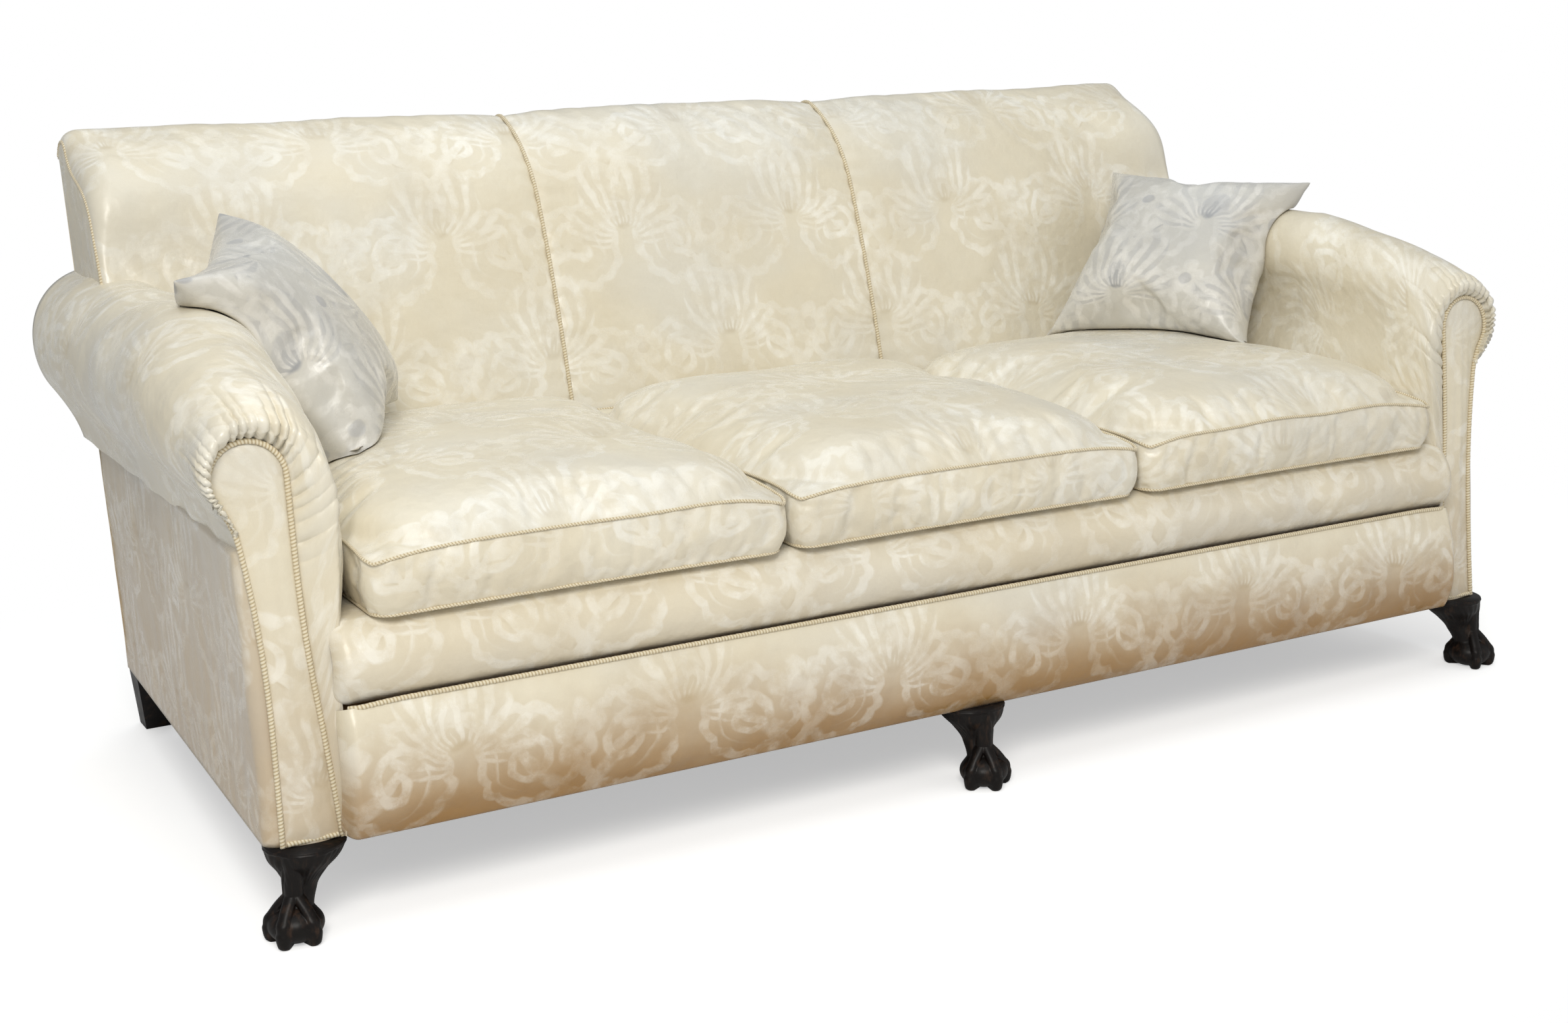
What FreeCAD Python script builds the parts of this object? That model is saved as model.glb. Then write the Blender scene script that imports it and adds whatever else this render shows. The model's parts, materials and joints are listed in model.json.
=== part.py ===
"""A three-seat scroll-arm sofa on claw-and-ball legs, built up the way an upholsterer builds one.

Millimetres. +Z is up, the sofa faces -Y, and +X is on the right as seen from the front.
The origin is on the floor, under the middle of the overall width and depth.
A timber frame carries webbing, springs and stuffing, and each cover is its own shell.
Three seat cushions and two scatter cushions lie loose and lift off.
"""
import FreeCAD, Part
import math
import os

V = FreeCAD.Vector

# Overall form
overall_width = 2080.0
overall_depth = 1020.0
back_top_z = 885.0
base_z = 110.0
seats = 3
half_width = overall_width / 2
front_y = -overall_depth / 2
rear_y = overall_depth / 2

# Clearances and thin materials
gap = 0.3
timber_gap = 0.5
cloth = 3.0
sheet = 1.6
cushion_cloth = 1.5
overrun = 400.0

# Cords
cord_r = 3.0
piping_r = 2.0

# Lean of the arm fronts and of the back, as run over rise
arm_rake_share = 0.09
back_rake_share = 0.189

# Outlines, as shares of the width and height that each follows
facing_shares = [(0.568, 0.0), (0.557, 0.241), (0.635, 0.607), (0.734, 0.690), (0.547, 0.809),
                 (0.318, 0.733), (0.318, 0.552), (0.281, 0.307), (0.203, 0.0)]
roll_shares = [(0.610, 0.0), (0.610, 0.310), (0.651, 0.552), (0.854, 0.717), (0.5, 1.0),
               (0.0, 0.834), (0.0, 0.672), (0.094, 0.355), (0.203, 0.0)]
outline_heading = 91.5
inside_back_shares = [(0.0, 0.0), (0.105, 0.26), (0.262, 0.5675), (0.377, 0.75), (0.574, 0.9135),
                      (0.793, 0.9942), (1.0, 0.933)]
inside_back_heading = 78.0

# Arm
roll_wide = 192.0
arm_inner_x = half_width - roll_wide
arm_top_z = 690.0
arm_front_inset = 70.0
facing_thick = 16.0
post_inset = 4.0
post_thick = 42.0
inner_pad = 55.0
arm_tuck_z = 300.0
side_cover_top_z = 446.0
side_front_inset = 64.0
side_rear_inset = 90.0
side_front_x = half_width - side_front_inset
side_rear_x = half_width - side_rear_inset
arm_inner_slope_share = 0.105
trim_gap = 2.0
side_corner_r = 18.0
arm_rail_wide = 36.0
arm_rail_inset = 10.0
arm_rail_z = 430.0
arm_rail_high = 40.0
stuffing_rail_wide = 26.0
stuffing_rail_high = 40.0

# The arm roll's swell: it starts in front of the facing and is full this far behind it.
# The first outline has gone these shares of the way from the facing's shape to the full roll.
roll_proud = 14.0
roll_full = 250.0
roll_sections = 8
roll_first_share = 0.22
inner_first_share = 0.80
roll_growth = 0.55
inner_growth = 12

# Back
back_pad_rear_inset = 5.0
back_foot_inset = 310.0
back_half = side_rear_x
seam_side_inset = 5.0
seam_x = (arm_inner_x - seam_side_inset) / seats
ear_corner_r = 45.0
back_post_wide = 45.0
back_post_deep = 45.0
crest_low_z = 786.0
crest_high = 60.0
back_rail_low_z = 300.0
back_rail_high = 45.0
stile_wide = 40.0
back_strap_pitch = 156.0
back_strap_side = 5
back_strap_rows = 4
back_bar_deep = 32.0

# Seat base
rail_thick = 30.0
front_rail_high = 152.0
side_rail_high = 120.0
cross_rail_high = 40.0
corner_block_leg = 70.0
border_proud = 59.0
border_heading = 125.0
border_shares = [(0.305, 0.0), (0.0, 0.35), (0.373, 1.0)]
lip_heading = 150.0
lip_deep = 104.0
lip_shares = [(0.22, 0.0), (0.0, 0.5), (0.39, 1.0)]
lip_behind_border = 15.0
welt_set = 25.0
deck_z = 364.0
deck_side_inset = 5.5
platform_pad = 50.0
strap_wide = 50.0
spring_side_room = 32.0
spring_depth_room = 345.0
spring_rows = 3
spring_columns = 8
spring_pitch = (2 * arm_inner_x - spring_side_room) / spring_columns
spring_row_pitch = (overall_depth - spring_depth_room) / spring_rows
spring_wire_r = 1.9
spring_end_r = 45.0
spring_waist_r = 30.0
spring_turns = 5
row_front_inset = 216.0

# Seat cushions
cushion_side_room = 7.0
cushion_gap = 12.0
cushion_pitch = (2 * arm_inner_x - cushion_side_room) / seats
cushion_wide = cushion_pitch - cushion_gap
cushion_front_inset = 50.0
cushion_back_gap = 5.0
boxing_high = 80.0
crown_high = 54.0
draw_in = 4.0
cushion_corner_r = 26.0
cushion_back_lean_share = 0.2
quarter_bow_share = 0.75
boxing_shares = [(0.0, 0.035), (0.12, 0.005), (0.5, -0.007), (1.0, 0.0)]
crown_shares = [(0.28, 0.04), (0.52, 0.12), (0.74, 0.25), (0.90, 0.42), (1.0, 0.66)]
crown_corner_share = 0.3
piping_end_gap = 1.0

# Scatter cushions
scatter_size = 350.0
scatter_thick = 112.0
scatter_draw_in = 16.0
scatter_cloth = 1.5
scatter_steps_shares = [(1.0, 0.26), (0.93, 0.46), (0.78, 0.64), (0.56, 0.80), (0.30, 0.92), (0.0, 1.0)]
scatter_places = {
    "left": {"turn": -65.4, "drop": 7.9, "lean": 52.0},
    "right": {"turn": -64.1, "drop": 1.4, "lean": 47.3},
}
scatter_in_from_arm = 88.0
scatter_before_back = 149.0
scatter_above_deck = 247.0

# Legs
ball_r = 33.0
ball_flat = 1.0
toe_proud = 4.5
toe_r = 6.5
knuckle_r = 7.8
toe_turns = (0.0, 72.0, -72.0, 180.0)
toe_lifts = (62.0, 12.0, -38.0)
leg_top_r = 40.0
leg_kick = 36.0
corner_foot_in = 88.0
corner_foot_back = 20.0
bolt_back = 26.0
rear_leg_top = 48.0
rear_leg_foot = 40.0
rear_leg_splay = 75.0
rear_leg_in = 18.0
leg_shares = [(1.0, 0.0, 1.0), (0.86, 0.20, 1.14), (0.70, 0.28, 0.92), (0.54, 0.32, 0.56),
              (0.43, 0.46, 0.42), (0.31, 0.78, 0.50), (0.20, 0.97, 0.62)]

# Fixings
dowel_r = 5.0
dowel_long = 60.0
dowel_low = 25.0
dowel_step = 55.0
dowel_shift = 25.0
bolt_r = 4.0
bolt_long = 70.0
bolt_in_leg = 20.0
fixing_gap = 0.1

# Heights and depths that several pieces share
dust_z = base_z + sheet
strap_z = dust_z + gap
rail_z = strap_z + 2 * sheet + 2 * gap
front_rail_top_z = rail_z + front_rail_high
side_rail_top_z = rail_z + side_rail_high
arm_front_y = front_y + arm_front_inset
rail_front_y = arm_front_y + facing_thick + gap
rail_back_y = rail_front_y + rail_thick
border_front_y = rail_front_y - gap - border_proud
arm_high = arm_top_z - base_z
crest_top_z = crest_low_z + crest_high
back_base_y = rear_y - (crest_top_z - base_z) * back_rake_share
cover_deep = cloth + gap
bar_deep = cover_deep + back_bar_deep
post_deep = cover_deep + back_post_deep
web_deep = post_deep + gap
hessian_deep = web_deep + 2 * sheet + 2 * gap
pad_deep = hessian_deep + sheet + gap
pad_bottom_z = deck_z + 2 * gap
back_foot_y = rear_y - back_foot_inset
back_pad_deep = back_foot_inset - back_pad_rear_inset
back_pad_high = back_top_z - pad_bottom_z

os.makedirs("parts", exist_ok=True)


def save(name, shape):
    """Writes one node's STEP file and prints what it holds."""
    shape.exportStep("parts/" + name + ".step")
    solids = len(shape.Solids)
    volume = shape.Volume / 1000.0
    print("%-26s solids %3d  volume %10.1f cm3  valid %s" % (name, solids, volume, shape.isValid()))
    return shape


def save_pair(name, shape):
    """Writes a piece of the right side and its mirror image on the left."""
    save(name + "_right", shape)
    save(name + "_left", mirrored(shape))


def group(shapes):
    """Several separate solids as one node."""
    return Part.makeCompound([solid for shape in shapes for solid in shape.Solids])


def mirrored(shape):
    """The same piece on the other side of the middle plane."""
    return shape.mirror(V(0, 0, 0), V(1, 0, 0))


def both(shape):
    """A piece and its mirror image together."""
    return group([shape, mirrored(shape)])


def biggest(shape):
    """The largest solid of a shape."""
    return max(shape.Solids, key=lambda solid: solid.Volume)


def box(x0, x1, y0, y1, z0, z1):
    """A block between two corners."""
    return Part.makeBox(x1 - x0, y1 - y0, z1 - z0, V(x0, y0, z0))


def plan_prism(points, z0, z1):
    """An upright piece with a straight-sided outline in plan."""
    wire = Part.makePolygon([V(x, y, z0) for x, y in points + points[:1]])
    return Part.Face(wire).extrude(V(0, 0, z1 - z0))


def side_prism(points, x0, x1):
    """A piece along X with a straight-sided outline in the side view."""
    wire = Part.makePolygon([V(x0, y, z) for y, z in points + points[:1]])
    return Part.Face(wire).extrude(V(x1 - x0, 0, 0))


def join(a, b):
    """A straight edge between two points."""
    return Part.LineSegment(a, b).toShape()


def smooth_run(points, heading, out=0.0):
    """Tangent arcs through flat points, each as start, middle and end, moved to the right of the way they run.

    heading is the first arc's direction in degrees. Each next arc starts the way the last one ended.
    """
    hx, hz = math.cos(math.radians(heading)), math.sin(math.radians(heading))
    run = []
    for (ax, az), (bx, bz) in zip(points, points[1:]):
        length = math.hypot(bx - ax, bz - az)
        ux, uz = (bx - ax) / length, (bz - az) / length
        along = hx * ux + hz * uz
        across = hz * ux - hx * uz
        rise = across / (1 + along) * length / 2
        mx, mz = (ax + bx) / 2 - uz * rise, (az + bz) / 2 + ux * rise
        ex, ez = along * ux + across * uz, along * uz - across * ux
        run.append(((ax + hz * out, az - hx * out), (mx + uz * out, mz - ux * out),
                    (bx + ez * out, bz - ex * out)))
        hx, hz = ex, ez
    return run


def arc_edges(run, place):
    """Edges of a run of arcs, each flat point put into space by place(u, v)."""
    return [Part.Arc(place(*a), place(*m), place(*b)).toShape() for a, m, b in run]


def loft(wires):
    """A solid through closed wires, straight from each to the next."""
    return Part.makeLoft(wires, True, True)


def cord(edges, radius):
    """A round cord along joined edges."""
    first = edges[0]
    ring = Part.Wire(Part.makeCircle(radius, first.Vertexes[0].Point, first.tangentAt(first.FirstParameter)))
    pipe = Part.BRepOffsetAPI.MakePipeShell(Part.Wire(edges))
    pipe.add(ring)
    pipe.build()
    pipe.makeSolid()
    return pipe.shape()


def back_y(z, depth=0.0):
    """Y of the raked outside back at a height, or of a plane that far in front of it."""
    return back_base_y + (z - base_z) * back_rake_share - depth


def raked_slab(x0, x1, z0, z1, deep0, deep1):
    """A block that leans with the back, between two depths in front of its rear face."""
    points = [(back_y(z0, deep1), z0), (back_y(z0, deep0), z0), (back_y(z1, deep0), z1), (back_y(z1, deep1), z1)]
    return side_prism(points, x0, x1)


def side_x(y, inset=0.0):
    """X of the outside arm's plane at a depth: the sides draw in towards the rear."""
    share = (y - arm_front_y) / (back_base_y - arm_front_y)
    return side_front_x + (side_rear_x - side_front_x) * share - inset


# Arm forms


def arm_outline(shares_a, shares_b, top_share, inner_share):
    """The arm's outline part of the way from one table of shares to the other, in X and Z."""
    points = []
    for i, ((ua, va), (ub, vb)) in enumerate(zip(shares_a, shares_b)):
        t = top_share if i < 5 else inner_share
        if i == 5:
            t = (top_share + inner_share) / 2
        u, v = ua + (ub - ua) * t, va + (vb - va) * t
        points.append((arm_inner_x + u * roll_wide, base_z + v * arm_high))
    return points


def arm_wire(points, y, rake, out):
    """A closed outline of the arm in a leaned plane, grown by a distance."""
    def place(x, z):
        return V(x, y + (z - base_z) * rake, z)
    edges = arc_edges(smooth_run(points, outline_heading, out), place)
    edges.append(join(edges[-1].Vertexes[-1].Point, edges[0].Vertexes[0].Point))
    return Part.Wire(edges)


def facing_prism(y, thick, out):
    """The arm front's keyhole shape, that thick."""
    points = arm_outline(facing_shares, roll_shares, 0.0, 0.0)
    return Part.Face(arm_wire(points, y, arm_rake_share, out)).extrude(V(0, thick, 0))


def arm_form(out):
    """The whole arm, from the bulge round its facing to its rear face, grown by a distance."""
    first_y = arm_front_y - roll_proud - out
    last_y = back_y(base_z) + out
    wires = []
    for i in range(roll_sections + 1):
        done = min(i / (roll_sections - 1), 1.0) ** 2
        y = first_y + (roll_full + roll_proud) * done if i < roll_sections else last_y
        top_share = roll_first_share + (1 - roll_first_share) * done ** roll_growth
        inner_share = 1 - (1 - inner_first_share) * (1 - done) ** inner_growth
        rake = arm_rake_share + (back_rake_share - arm_rake_share) * (y - first_y) / (last_y - first_y)
        wires.append(arm_wire(arm_outline(facing_shares, roll_shares, top_share, inner_share), y, rake, out))
    return loft(wires)


arm_solid = arm_form(0.0)
arm_room = arm_form(gap)
facing_room = facing_prism(arm_front_y - overrun, overrun + facing_thick + gap, gap)
post_y = arm_front_y + facing_thick + gap
post_rear_y = post_y + post_thick
under_floor = box(-half_width, half_width, front_y, rear_y, -overrun, rail_z)
arm_post = facing_prism(post_y, post_thick, -post_inset).cut(under_floor)
post_room = facing_prism(post_y - gap, post_thick + 2 * gap, -post_inset + timber_gap)
back_post_x = side_rear_x - cloth - gap - back_post_wide
back_post = raked_slab(back_post_x, back_post_x + back_post_wide, rail_z, crest_top_z,
                       cover_deep, post_deep)
back_frame_room = raked_slab(-half_width, back_post_x + back_post_wide + gap, base_z, back_top_z,
                             -overrun, pad_deep)


def timber():
    """The frame's rails, posts and blocks, still without their dowel holes."""
    frame = {}
    reach = side_front_x
    front = box(-reach, reach, rail_front_y, rail_back_y, rail_z, front_rail_top_z)
    for room in (facing_room, mirrored(facing_room), post_room, mirrored(post_room)):
        front = biggest(front.cut(room))
    frame["front_rail"] = front
    half = back_post_x - timber_gap
    frame["back_rail"] = raked_slab(-half, half, rail_z, side_rail_top_z, cover_deep, cover_deep + rail_thick)
    y0, y1 = post_y, back_y(arm_rail_z, post_deep)
    ahead = side_prism([(front_y, 0), (post_rear_y + timber_gap - base_z * arm_rake_share, 0),
                        (post_rear_y + timber_gap + arm_high * arm_rake_share, arm_top_z), (front_y, arm_top_z)],
                       0, reach)
    behind = raked_slab(0, reach, base_z, back_top_z, -overrun, post_deep + timber_gap)
    side_out = back_post_x + back_post_wide
    side = box(side_out - rail_thick, side_out, y0, y1, rail_z, side_rail_top_z)
    frame["side_rail"] = biggest(side.cut(ahead).cut(behind))
    cross_front = rail_back_y + timber_gap
    cross_rear = back_y(rail_z, cover_deep + rail_thick + timber_gap)
    frame["cross_rail"] = box(spring_pitch - rail_thick / 2, spring_pitch + rail_thick / 2, cross_front,
                              cross_rear, rail_z, rail_z + cross_rail_high)
    frame["arm_post"] = arm_post
    frame["back_post"] = back_post
    inset = arm_rail_inset
    top = [(side_x(y0, inset), y0), (side_x(y1, inset), y1), (side_x(y1, inset + arm_rail_wide), y1),
           (side_x(y0, inset + arm_rail_wide), y0)]
    rail = plan_prism(top, arm_rail_z, arm_rail_z + arm_rail_high)
    frame["arm_top_rail"] = biggest(rail.cut(ahead).cut(behind))
    inner = arm_inner_x + inner_pad + gap
    low = box(inner, inner + stuffing_rail_wide, y0, y1, arm_tuck_z, arm_tuck_z + stuffing_rail_high)
    frame["arm_low_rail"] = biggest(low.cut(ahead).cut(behind))
    frame["crest_rail"] = raked_slab(-half, half, crest_low_z, crest_top_z, cover_deep, post_deep)
    frame["back_low_bar"] = raked_slab(-half, half, back_rail_low_z, back_rail_low_z + back_rail_high,
                                       cover_deep, post_deep)
    frame["back_stile"] = raked_slab(seam_x - stile_wide / 2, seam_x + stile_wide / 2,
                                     back_rail_low_z + back_rail_high + timber_gap, crest_low_z - timber_gap,
                                     cover_deep, bar_deep)
    return frame


def corner_blocks():
    """Three-cornered blocks glued in the seat frame's corners."""
    z0, z1 = rail_z + timber_gap, rail_z + cross_rail_high
    x1 = back_post_x + back_post_wide - rail_thick - timber_gap
    y0 = max(rail_back_y, post_rear_y + cross_rail_high * arm_rake_share) + timber_gap
    front = plan_prism([(x1, y0), (x1, y0 + corner_block_leg), (x1 - corner_block_leg, y0)], z0, z1)
    y1 = back_y(rail_z, post_deep + timber_gap)
    rear = plan_prism([(x1, y1), (x1 - corner_block_leg, y1), (x1, y1 - corner_block_leg)], z0, z1)
    return [front, rear]


def cabriole_leg():
    """A knee, an ankle and a claw gripping a ball, kicking along +X from under its top's centre."""
    top = base_z - gap
    ball_z = ball_r - ball_flat
    rings = [Part.Wire(Part.makeCircle(leg_top_r * wide, V(leg_kick * kick, 0, top * high)))
             for high, kick, wide in leg_shares]
    leg = loft(rings).fuse(Part.makeSphere(ball_r, V(leg_kick, 0, ball_z)))
    reach = ball_r + toe_proud - toe_r
    for turn in toe_turns:
        ends = []
        for lift in toe_lifts:
            flat = reach * math.cos(math.radians(lift))
            ends.append(V(leg_kick + flat * math.cos(math.radians(turn)), flat * math.sin(math.radians(turn)),
                          ball_z + reach * math.sin(math.radians(lift))))
        leg = leg.fuse(cord([Part.Arc(*ends).toShape()], toe_r))
        leg = leg.fuse(Part.makeSphere(knuckle_r, ends[1]))
    floor = box(-overrun, overrun, -overrun, overrun, -overrun, 0)
    return biggest(leg.cut(floor))


def placed(shape, x, y, turn):
    """A copy turned about the upright axis, then moved in plan."""
    copy = shape.copy()
    copy.rotate(V(0, 0, 0), V(0, 0, 1), turn)
    copy.translate(V(x, y, 0))
    return copy


def square_ring(x, y, wide, z):
    """A closed square, given by the middle of its front edge."""
    half = wide / 2
    return Part.makePolygon([V(x - half, y, z), V(x + half, y, z), V(x + half, y + wide, z),
                             V(x - half, y + wide, z), V(x - half, y, z)])


def rear_leg(x, inward):
    """A square block that splays backwards as it goes down."""
    y = back_y(rail_z, post_deep)
    foot = square_ring(x - inward, y + rear_leg_splay, rear_leg_foot, 0)
    return loft([foot, square_ring(x, y, rear_leg_top, base_z - gap)])


def webbing(x_places, y_places, x_reach, z, depth_edge):
    """Straps one way, with straps the other way lying on them."""
    lower = [box(x - strap_wide / 2, x + strap_wide / 2, depth_edge[0], depth_edge[1], z, z + sheet)
             for x in x_places]
    upper = [box(-x_reach, x_reach, y - strap_wide / 2, y + strap_wide / 2, z + sheet + gap, z + 2 * sheet + gap)
             for y in y_places]
    return lower + upper


def coil_spring(x, y, z0, z1):
    """A waisted coil spring of half-turn arcs, standing upright."""
    low, high = z0 + spring_wire_r + gap, z1 - spring_wire_r - gap
    quarters = spring_turns * 4
    points = []
    for i in range(quarters + 1):
        up = i / quarters
        r = spring_waist_r + (spring_end_r - spring_waist_r) * (2 * up - 1) ** 2
        turn = i * math.pi / 2
        points.append(V(x + r * math.cos(turn), y + r * math.sin(turn), low + (high - low) * up))
    arcs = [Part.Arc(points[i], points[i + 1], points[i + 2]).toShape() for i in range(0, quarters, 2)]
    return cord(arcs, spring_wire_r)


# Back forms


def back_outline(out):
    """The inside back's profile as a run of arcs in Y and Z, moved outwards by a distance."""
    points = [(back_foot_y + u * back_pad_deep, pad_bottom_z + v * back_pad_high) for u, v in inside_back_shares]
    return smooth_run(points, inside_back_heading, -out)


def back_prism(x0, x1, out, low_deep, top_z):
    """The padded back between two planes: a curved front, a rolled top and a flat rear at a depth."""
    def place(y, z):
        return V(x0, y, z)
    edges = arc_edges(back_outline(out), place)
    start, end = edges[0].Vertexes[0].Point, edges[-1].Vertexes[-1].Point
    corners = [end, V(x0, back_y(top_z, 0), top_z), V(x0, back_y(top_z, low_deep), top_z),
               V(x0, back_y(start.z, low_deep), start.z), start]
    edges += [join(a, b) for a, b in zip(corners, corners[1:])]
    return Part.Face(Part.Wire(edges)).extrude(V(x1 - x0, 0, 0))


def ear_form(inset):
    """The back's front outline with rounded top corners, as a block through the whole depth."""
    x, top, r = back_half - inset, back_top_z + gap - inset, ear_corner_r - inset
    bend = r * (1 - math.sqrt(0.5))
    y = front_y
    points = [V(-x, y, pad_bottom_z), V(x, y, pad_bottom_z), V(x, y, top - r), V(x - bend, y, top - bend),
              V(x - r, y, top), V(r - x, y, top), V(bend - x, y, top - bend), V(-x, y, top - r)]
    edges = [join(points[0], points[1]), join(points[1], points[2]),
             Part.Arc(points[2], points[3], points[4]).toShape(), join(points[4], points[5]),
             Part.Arc(points[5], points[6], points[7]).toShape(), join(points[7], points[0])]
    return Part.Face(Part.Wire(edges)).extrude(V(0, overall_depth * 2, 0))


def back_piece(x0, x1, out, inset):
    """The padded back between two planes, inside the rounded ends and clear of both arms."""
    piece = back_prism(x0, x1, out, pad_deep, crest_top_z + gap).common(ear_form(inset))
    return biggest(piece.cut(arm_room).cut(mirrored(arm_room)))


# Seat cushions


def soft_ring(x0, x1, y0, y1, r, bow, z):
    """A closed outline in plan with rounded corners and sides drawn in between them, from the rear's middle."""
    bend = r * (1 - math.sqrt(0.5))
    xm, ym = (x0 + x1) / 2, (y0 + y1) / 2
    half_bow = bow * quarter_bow_share
    spots = [(xm, y1 - bow), ((xm + x0 + r) / 2, y1 - half_bow), (x0 + r, y1), (x0 + bend, y1 - bend), (x0, y1 - r),
             (x0 + bow, ym), (x0, y0 + r), (x0 + bend, y0 + bend), (x0 + r, y0),
             (xm, y0 + bow), (x1 - r, y0), (x1 - bend, y0 + bend), (x1, y0 + r),
             (x1 - bow, ym), (x1, y1 - r), (x1 - bend, y1 - bend), (x1 - r, y1),
             ((xm + x1 - r) / 2, y1 - half_bow), (xm, y1 - bow)]
    points = [V(x, y, z) for x, y in spots]
    return [Part.Arc(points[i], points[i + 1], points[i + 2]).toShape() for i in range(0, len(points) - 2, 2)]


def cushion_ring(x, inset, up, z):
    """One level outline of a seat cushion. Its rear leans with the back's face."""
    half = cushion_wide / 2 - inset
    y0 = front_y + cushion_front_inset + inset
    y1 = back_foot_y - cushion_back_gap + up * cushion_back_lean_share - inset
    r = cushion_corner_r + max(inset, 0.0) * crown_corner_share
    return soft_ring(x - half, x + half, y0, y1, r, draw_in, z)


def seat_cushion(x, inset):
    """A crowned cushion with a boxed border, shrunk all round by a distance."""
    rings = []
    half = min(cushion_wide, back_foot_y - cushion_back_gap - front_y - cushion_front_inset) / 2
    for high, side in boxing_shares:
        up = inset + high * (boxing_high - 2 * inset)
        rings.append(Part.Wire(cushion_ring(x, inset + side * half, up, deck_z + gap + up)))
    for high, side in crown_shares:
        up = boxing_high - inset + high * crown_high
        rings.append(Part.Wire(cushion_ring(x, inset + side * half, up, deck_z + gap + up)))
    return loft(rings)


def cushion_piping(x):
    """The piping round a cushion's top seam. Its ends meet in the middle of the rear."""
    edges = cushion_ring(x, -piping_r - gap, boxing_high, deck_z + gap + boxing_high)
    last = edges[-1]
    span = last.LastParameter - last.FirstParameter
    cut = last.FirstParameter + span * (1 - piping_end_gap / last.Length)
    edges[-1] = Part.Edge(last.Curve, last.FirstParameter, cut)
    return cord(edges, piping_r)


# Scatter cushions


def pillow_ring(size, z):
    """A closed square with pointed corners and drawn-in sides."""
    h = size / 2
    m = h - scatter_draw_in * size / scatter_size
    spots = [(-h, -h), (0, -m), (h, -h), (m, 0), (h, h), (0, m), (-h, h), (-m, 0), (-h, -h)]
    points = [V(x, y, z) for x, y in spots]
    return Part.Wire([Part.Arc(points[i], points[i + 1], points[i + 2]).toShape() for i in range(0, 8, 2)])


def scatter_cushion(place, inset):
    """A knife-edged pillow leaning on the right arm, shrunk by a distance."""
    size, half = scatter_size - 4 * inset, scatter_thick / 2 - inset
    steps = [(high, side) for high, side in scatter_steps_shares]
    steps += [(-high, side) for high, side in reversed(scatter_steps_shares[:-1])]
    pillow = loft([pillow_ring(size * side, half * high) for high, side in steps])
    pillow.rotate(V(0, 0, 0), V(1, 0, 0), place["lean"])
    pillow.rotate(V(0, 0, 0), V(0, 1, 0), place["drop"])
    pillow.rotate(V(0, 0, 0), V(0, 0, 1), place["turn"])
    pillow.translate(V(arm_inner_x - scatter_in_from_arm, back_foot_y - scatter_before_back,
                       deck_z + scatter_above_deck))
    room = gap + inset
    for other in (seat_cushion(cushion_pitch, -room), arm_form(room),
                  back_prism(arm_inner_x - overrun, back_half, room, pad_deep, crest_top_z)):
        pillow = biggest(pillow.cut(other))
    return pillow


# Assembly


def trimmed_front(shape):
    """A front piece cut to length between the arms, whose inner faces lean apart towards the floor."""
    foot = arm_inner_x + facing_shares[-1][0] * roll_wide - trim_gap
    top = foot - arm_high * arm_inner_slope_share
    wire = Part.makePolygon([V(-foot, front_y, base_z), V(foot, front_y, base_z), V(top, front_y, arm_top_z),
                             V(-top, front_y, arm_top_z), V(-foot, front_y, base_z)])
    piece = shape.common(Part.Face(wire).extrude(V(0, overall_depth, 0)))
    return biggest(piece.cut(arm_room).cut(mirrored(arm_room)))


def front_piece(shares, heading, y0, y1, z0, z1):
    """A padded front piece along X: a curved front, and flat top, rear and bottom."""
    points = [(y0 + u * (y1 - y0), z0 + v * (z1 - z0)) for u, v in shares]

    def place(y, z):
        return V(-half_width, y, z)
    edges = arc_edges(smooth_run(points, heading), place)
    corners = [edges[-1].Vertexes[-1].Point, V(-half_width, y1, z1), V(-half_width, y1, z0),
               edges[0].Vertexes[0].Point]
    edges += [join(a, b) for a, b in zip(corners, corners[1:])]
    return trimmed_front(Part.Face(Part.Wire(edges)).extrude(V(overall_width, 0, 0)))


def front_border():
    """The padded border over the front rail."""
    return front_piece(border_shares, border_heading, border_front_y, rail_front_y - gap, base_z, front_rail_top_z)


def front_lip():
    """The rolled front edge that the seat cushions rest on."""
    y0 = border_front_y + lip_behind_border
    return front_piece(lip_shares, lip_heading, y0, y0 + lip_deep, front_rail_top_z + gap, deck_z)


def front_welt():
    """The cord in the groove between the border and the lip."""
    z = front_rail_top_z + gap + cord_r
    half = arm_inner_x + facing_shares[-1][0] * roll_wide - trim_gap * 2 - (z - base_z) * arm_inner_slope_share
    y = border_front_y + welt_set
    return cord([join(V(-half, y, z), V(half, y, z))], cord_r)


def leg_places():
    """Each leg's top centre in plan, the way it kicks in degrees, and its bolt's place."""
    reach = ball_r + toe_proud - toe_r + knuckle_r
    centre_y = front_y + reach + leg_kick
    corner_x = half_width - corner_foot_in - leg_kick * math.sqrt(0.5)
    corner_y = front_y + reach + corner_foot_back + leg_kick * math.sqrt(0.5)
    back = bolt_back * math.sqrt(0.5)
    rear_y0 = back_y(rail_z, post_deep)
    rear_x = back_post_x + back_post_wide / 2
    rear_bolt = rear_y0 + rear_leg_top / 2
    return {
        "front_leg_right": (corner_x, corner_y, -45.0, (corner_x - back, corner_y + back)),
        "front_leg_left": (-corner_x, corner_y, -135.0, (back - corner_x, corner_y + back)),
        "front_leg_centre": (0.0, centre_y, -90.0, (0.0, centre_y + bolt_back)),
        "rear_leg_right": (rear_x, rear_y0, None, (rear_x, rear_bolt)),
        "rear_leg_left": (-rear_x, rear_y0, None, (-rear_x, rear_bolt)),
        "rear_leg_centre": (0.0, rear_y0, None, (0.0, rear_bolt)),
    }


def pin(x, y, z, direction, r, length):
    """A round pin centred on a point."""
    start = V(x, y, z) - direction * (length / 2)
    return Part.makeCylinder(r, length, start, direction)


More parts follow.
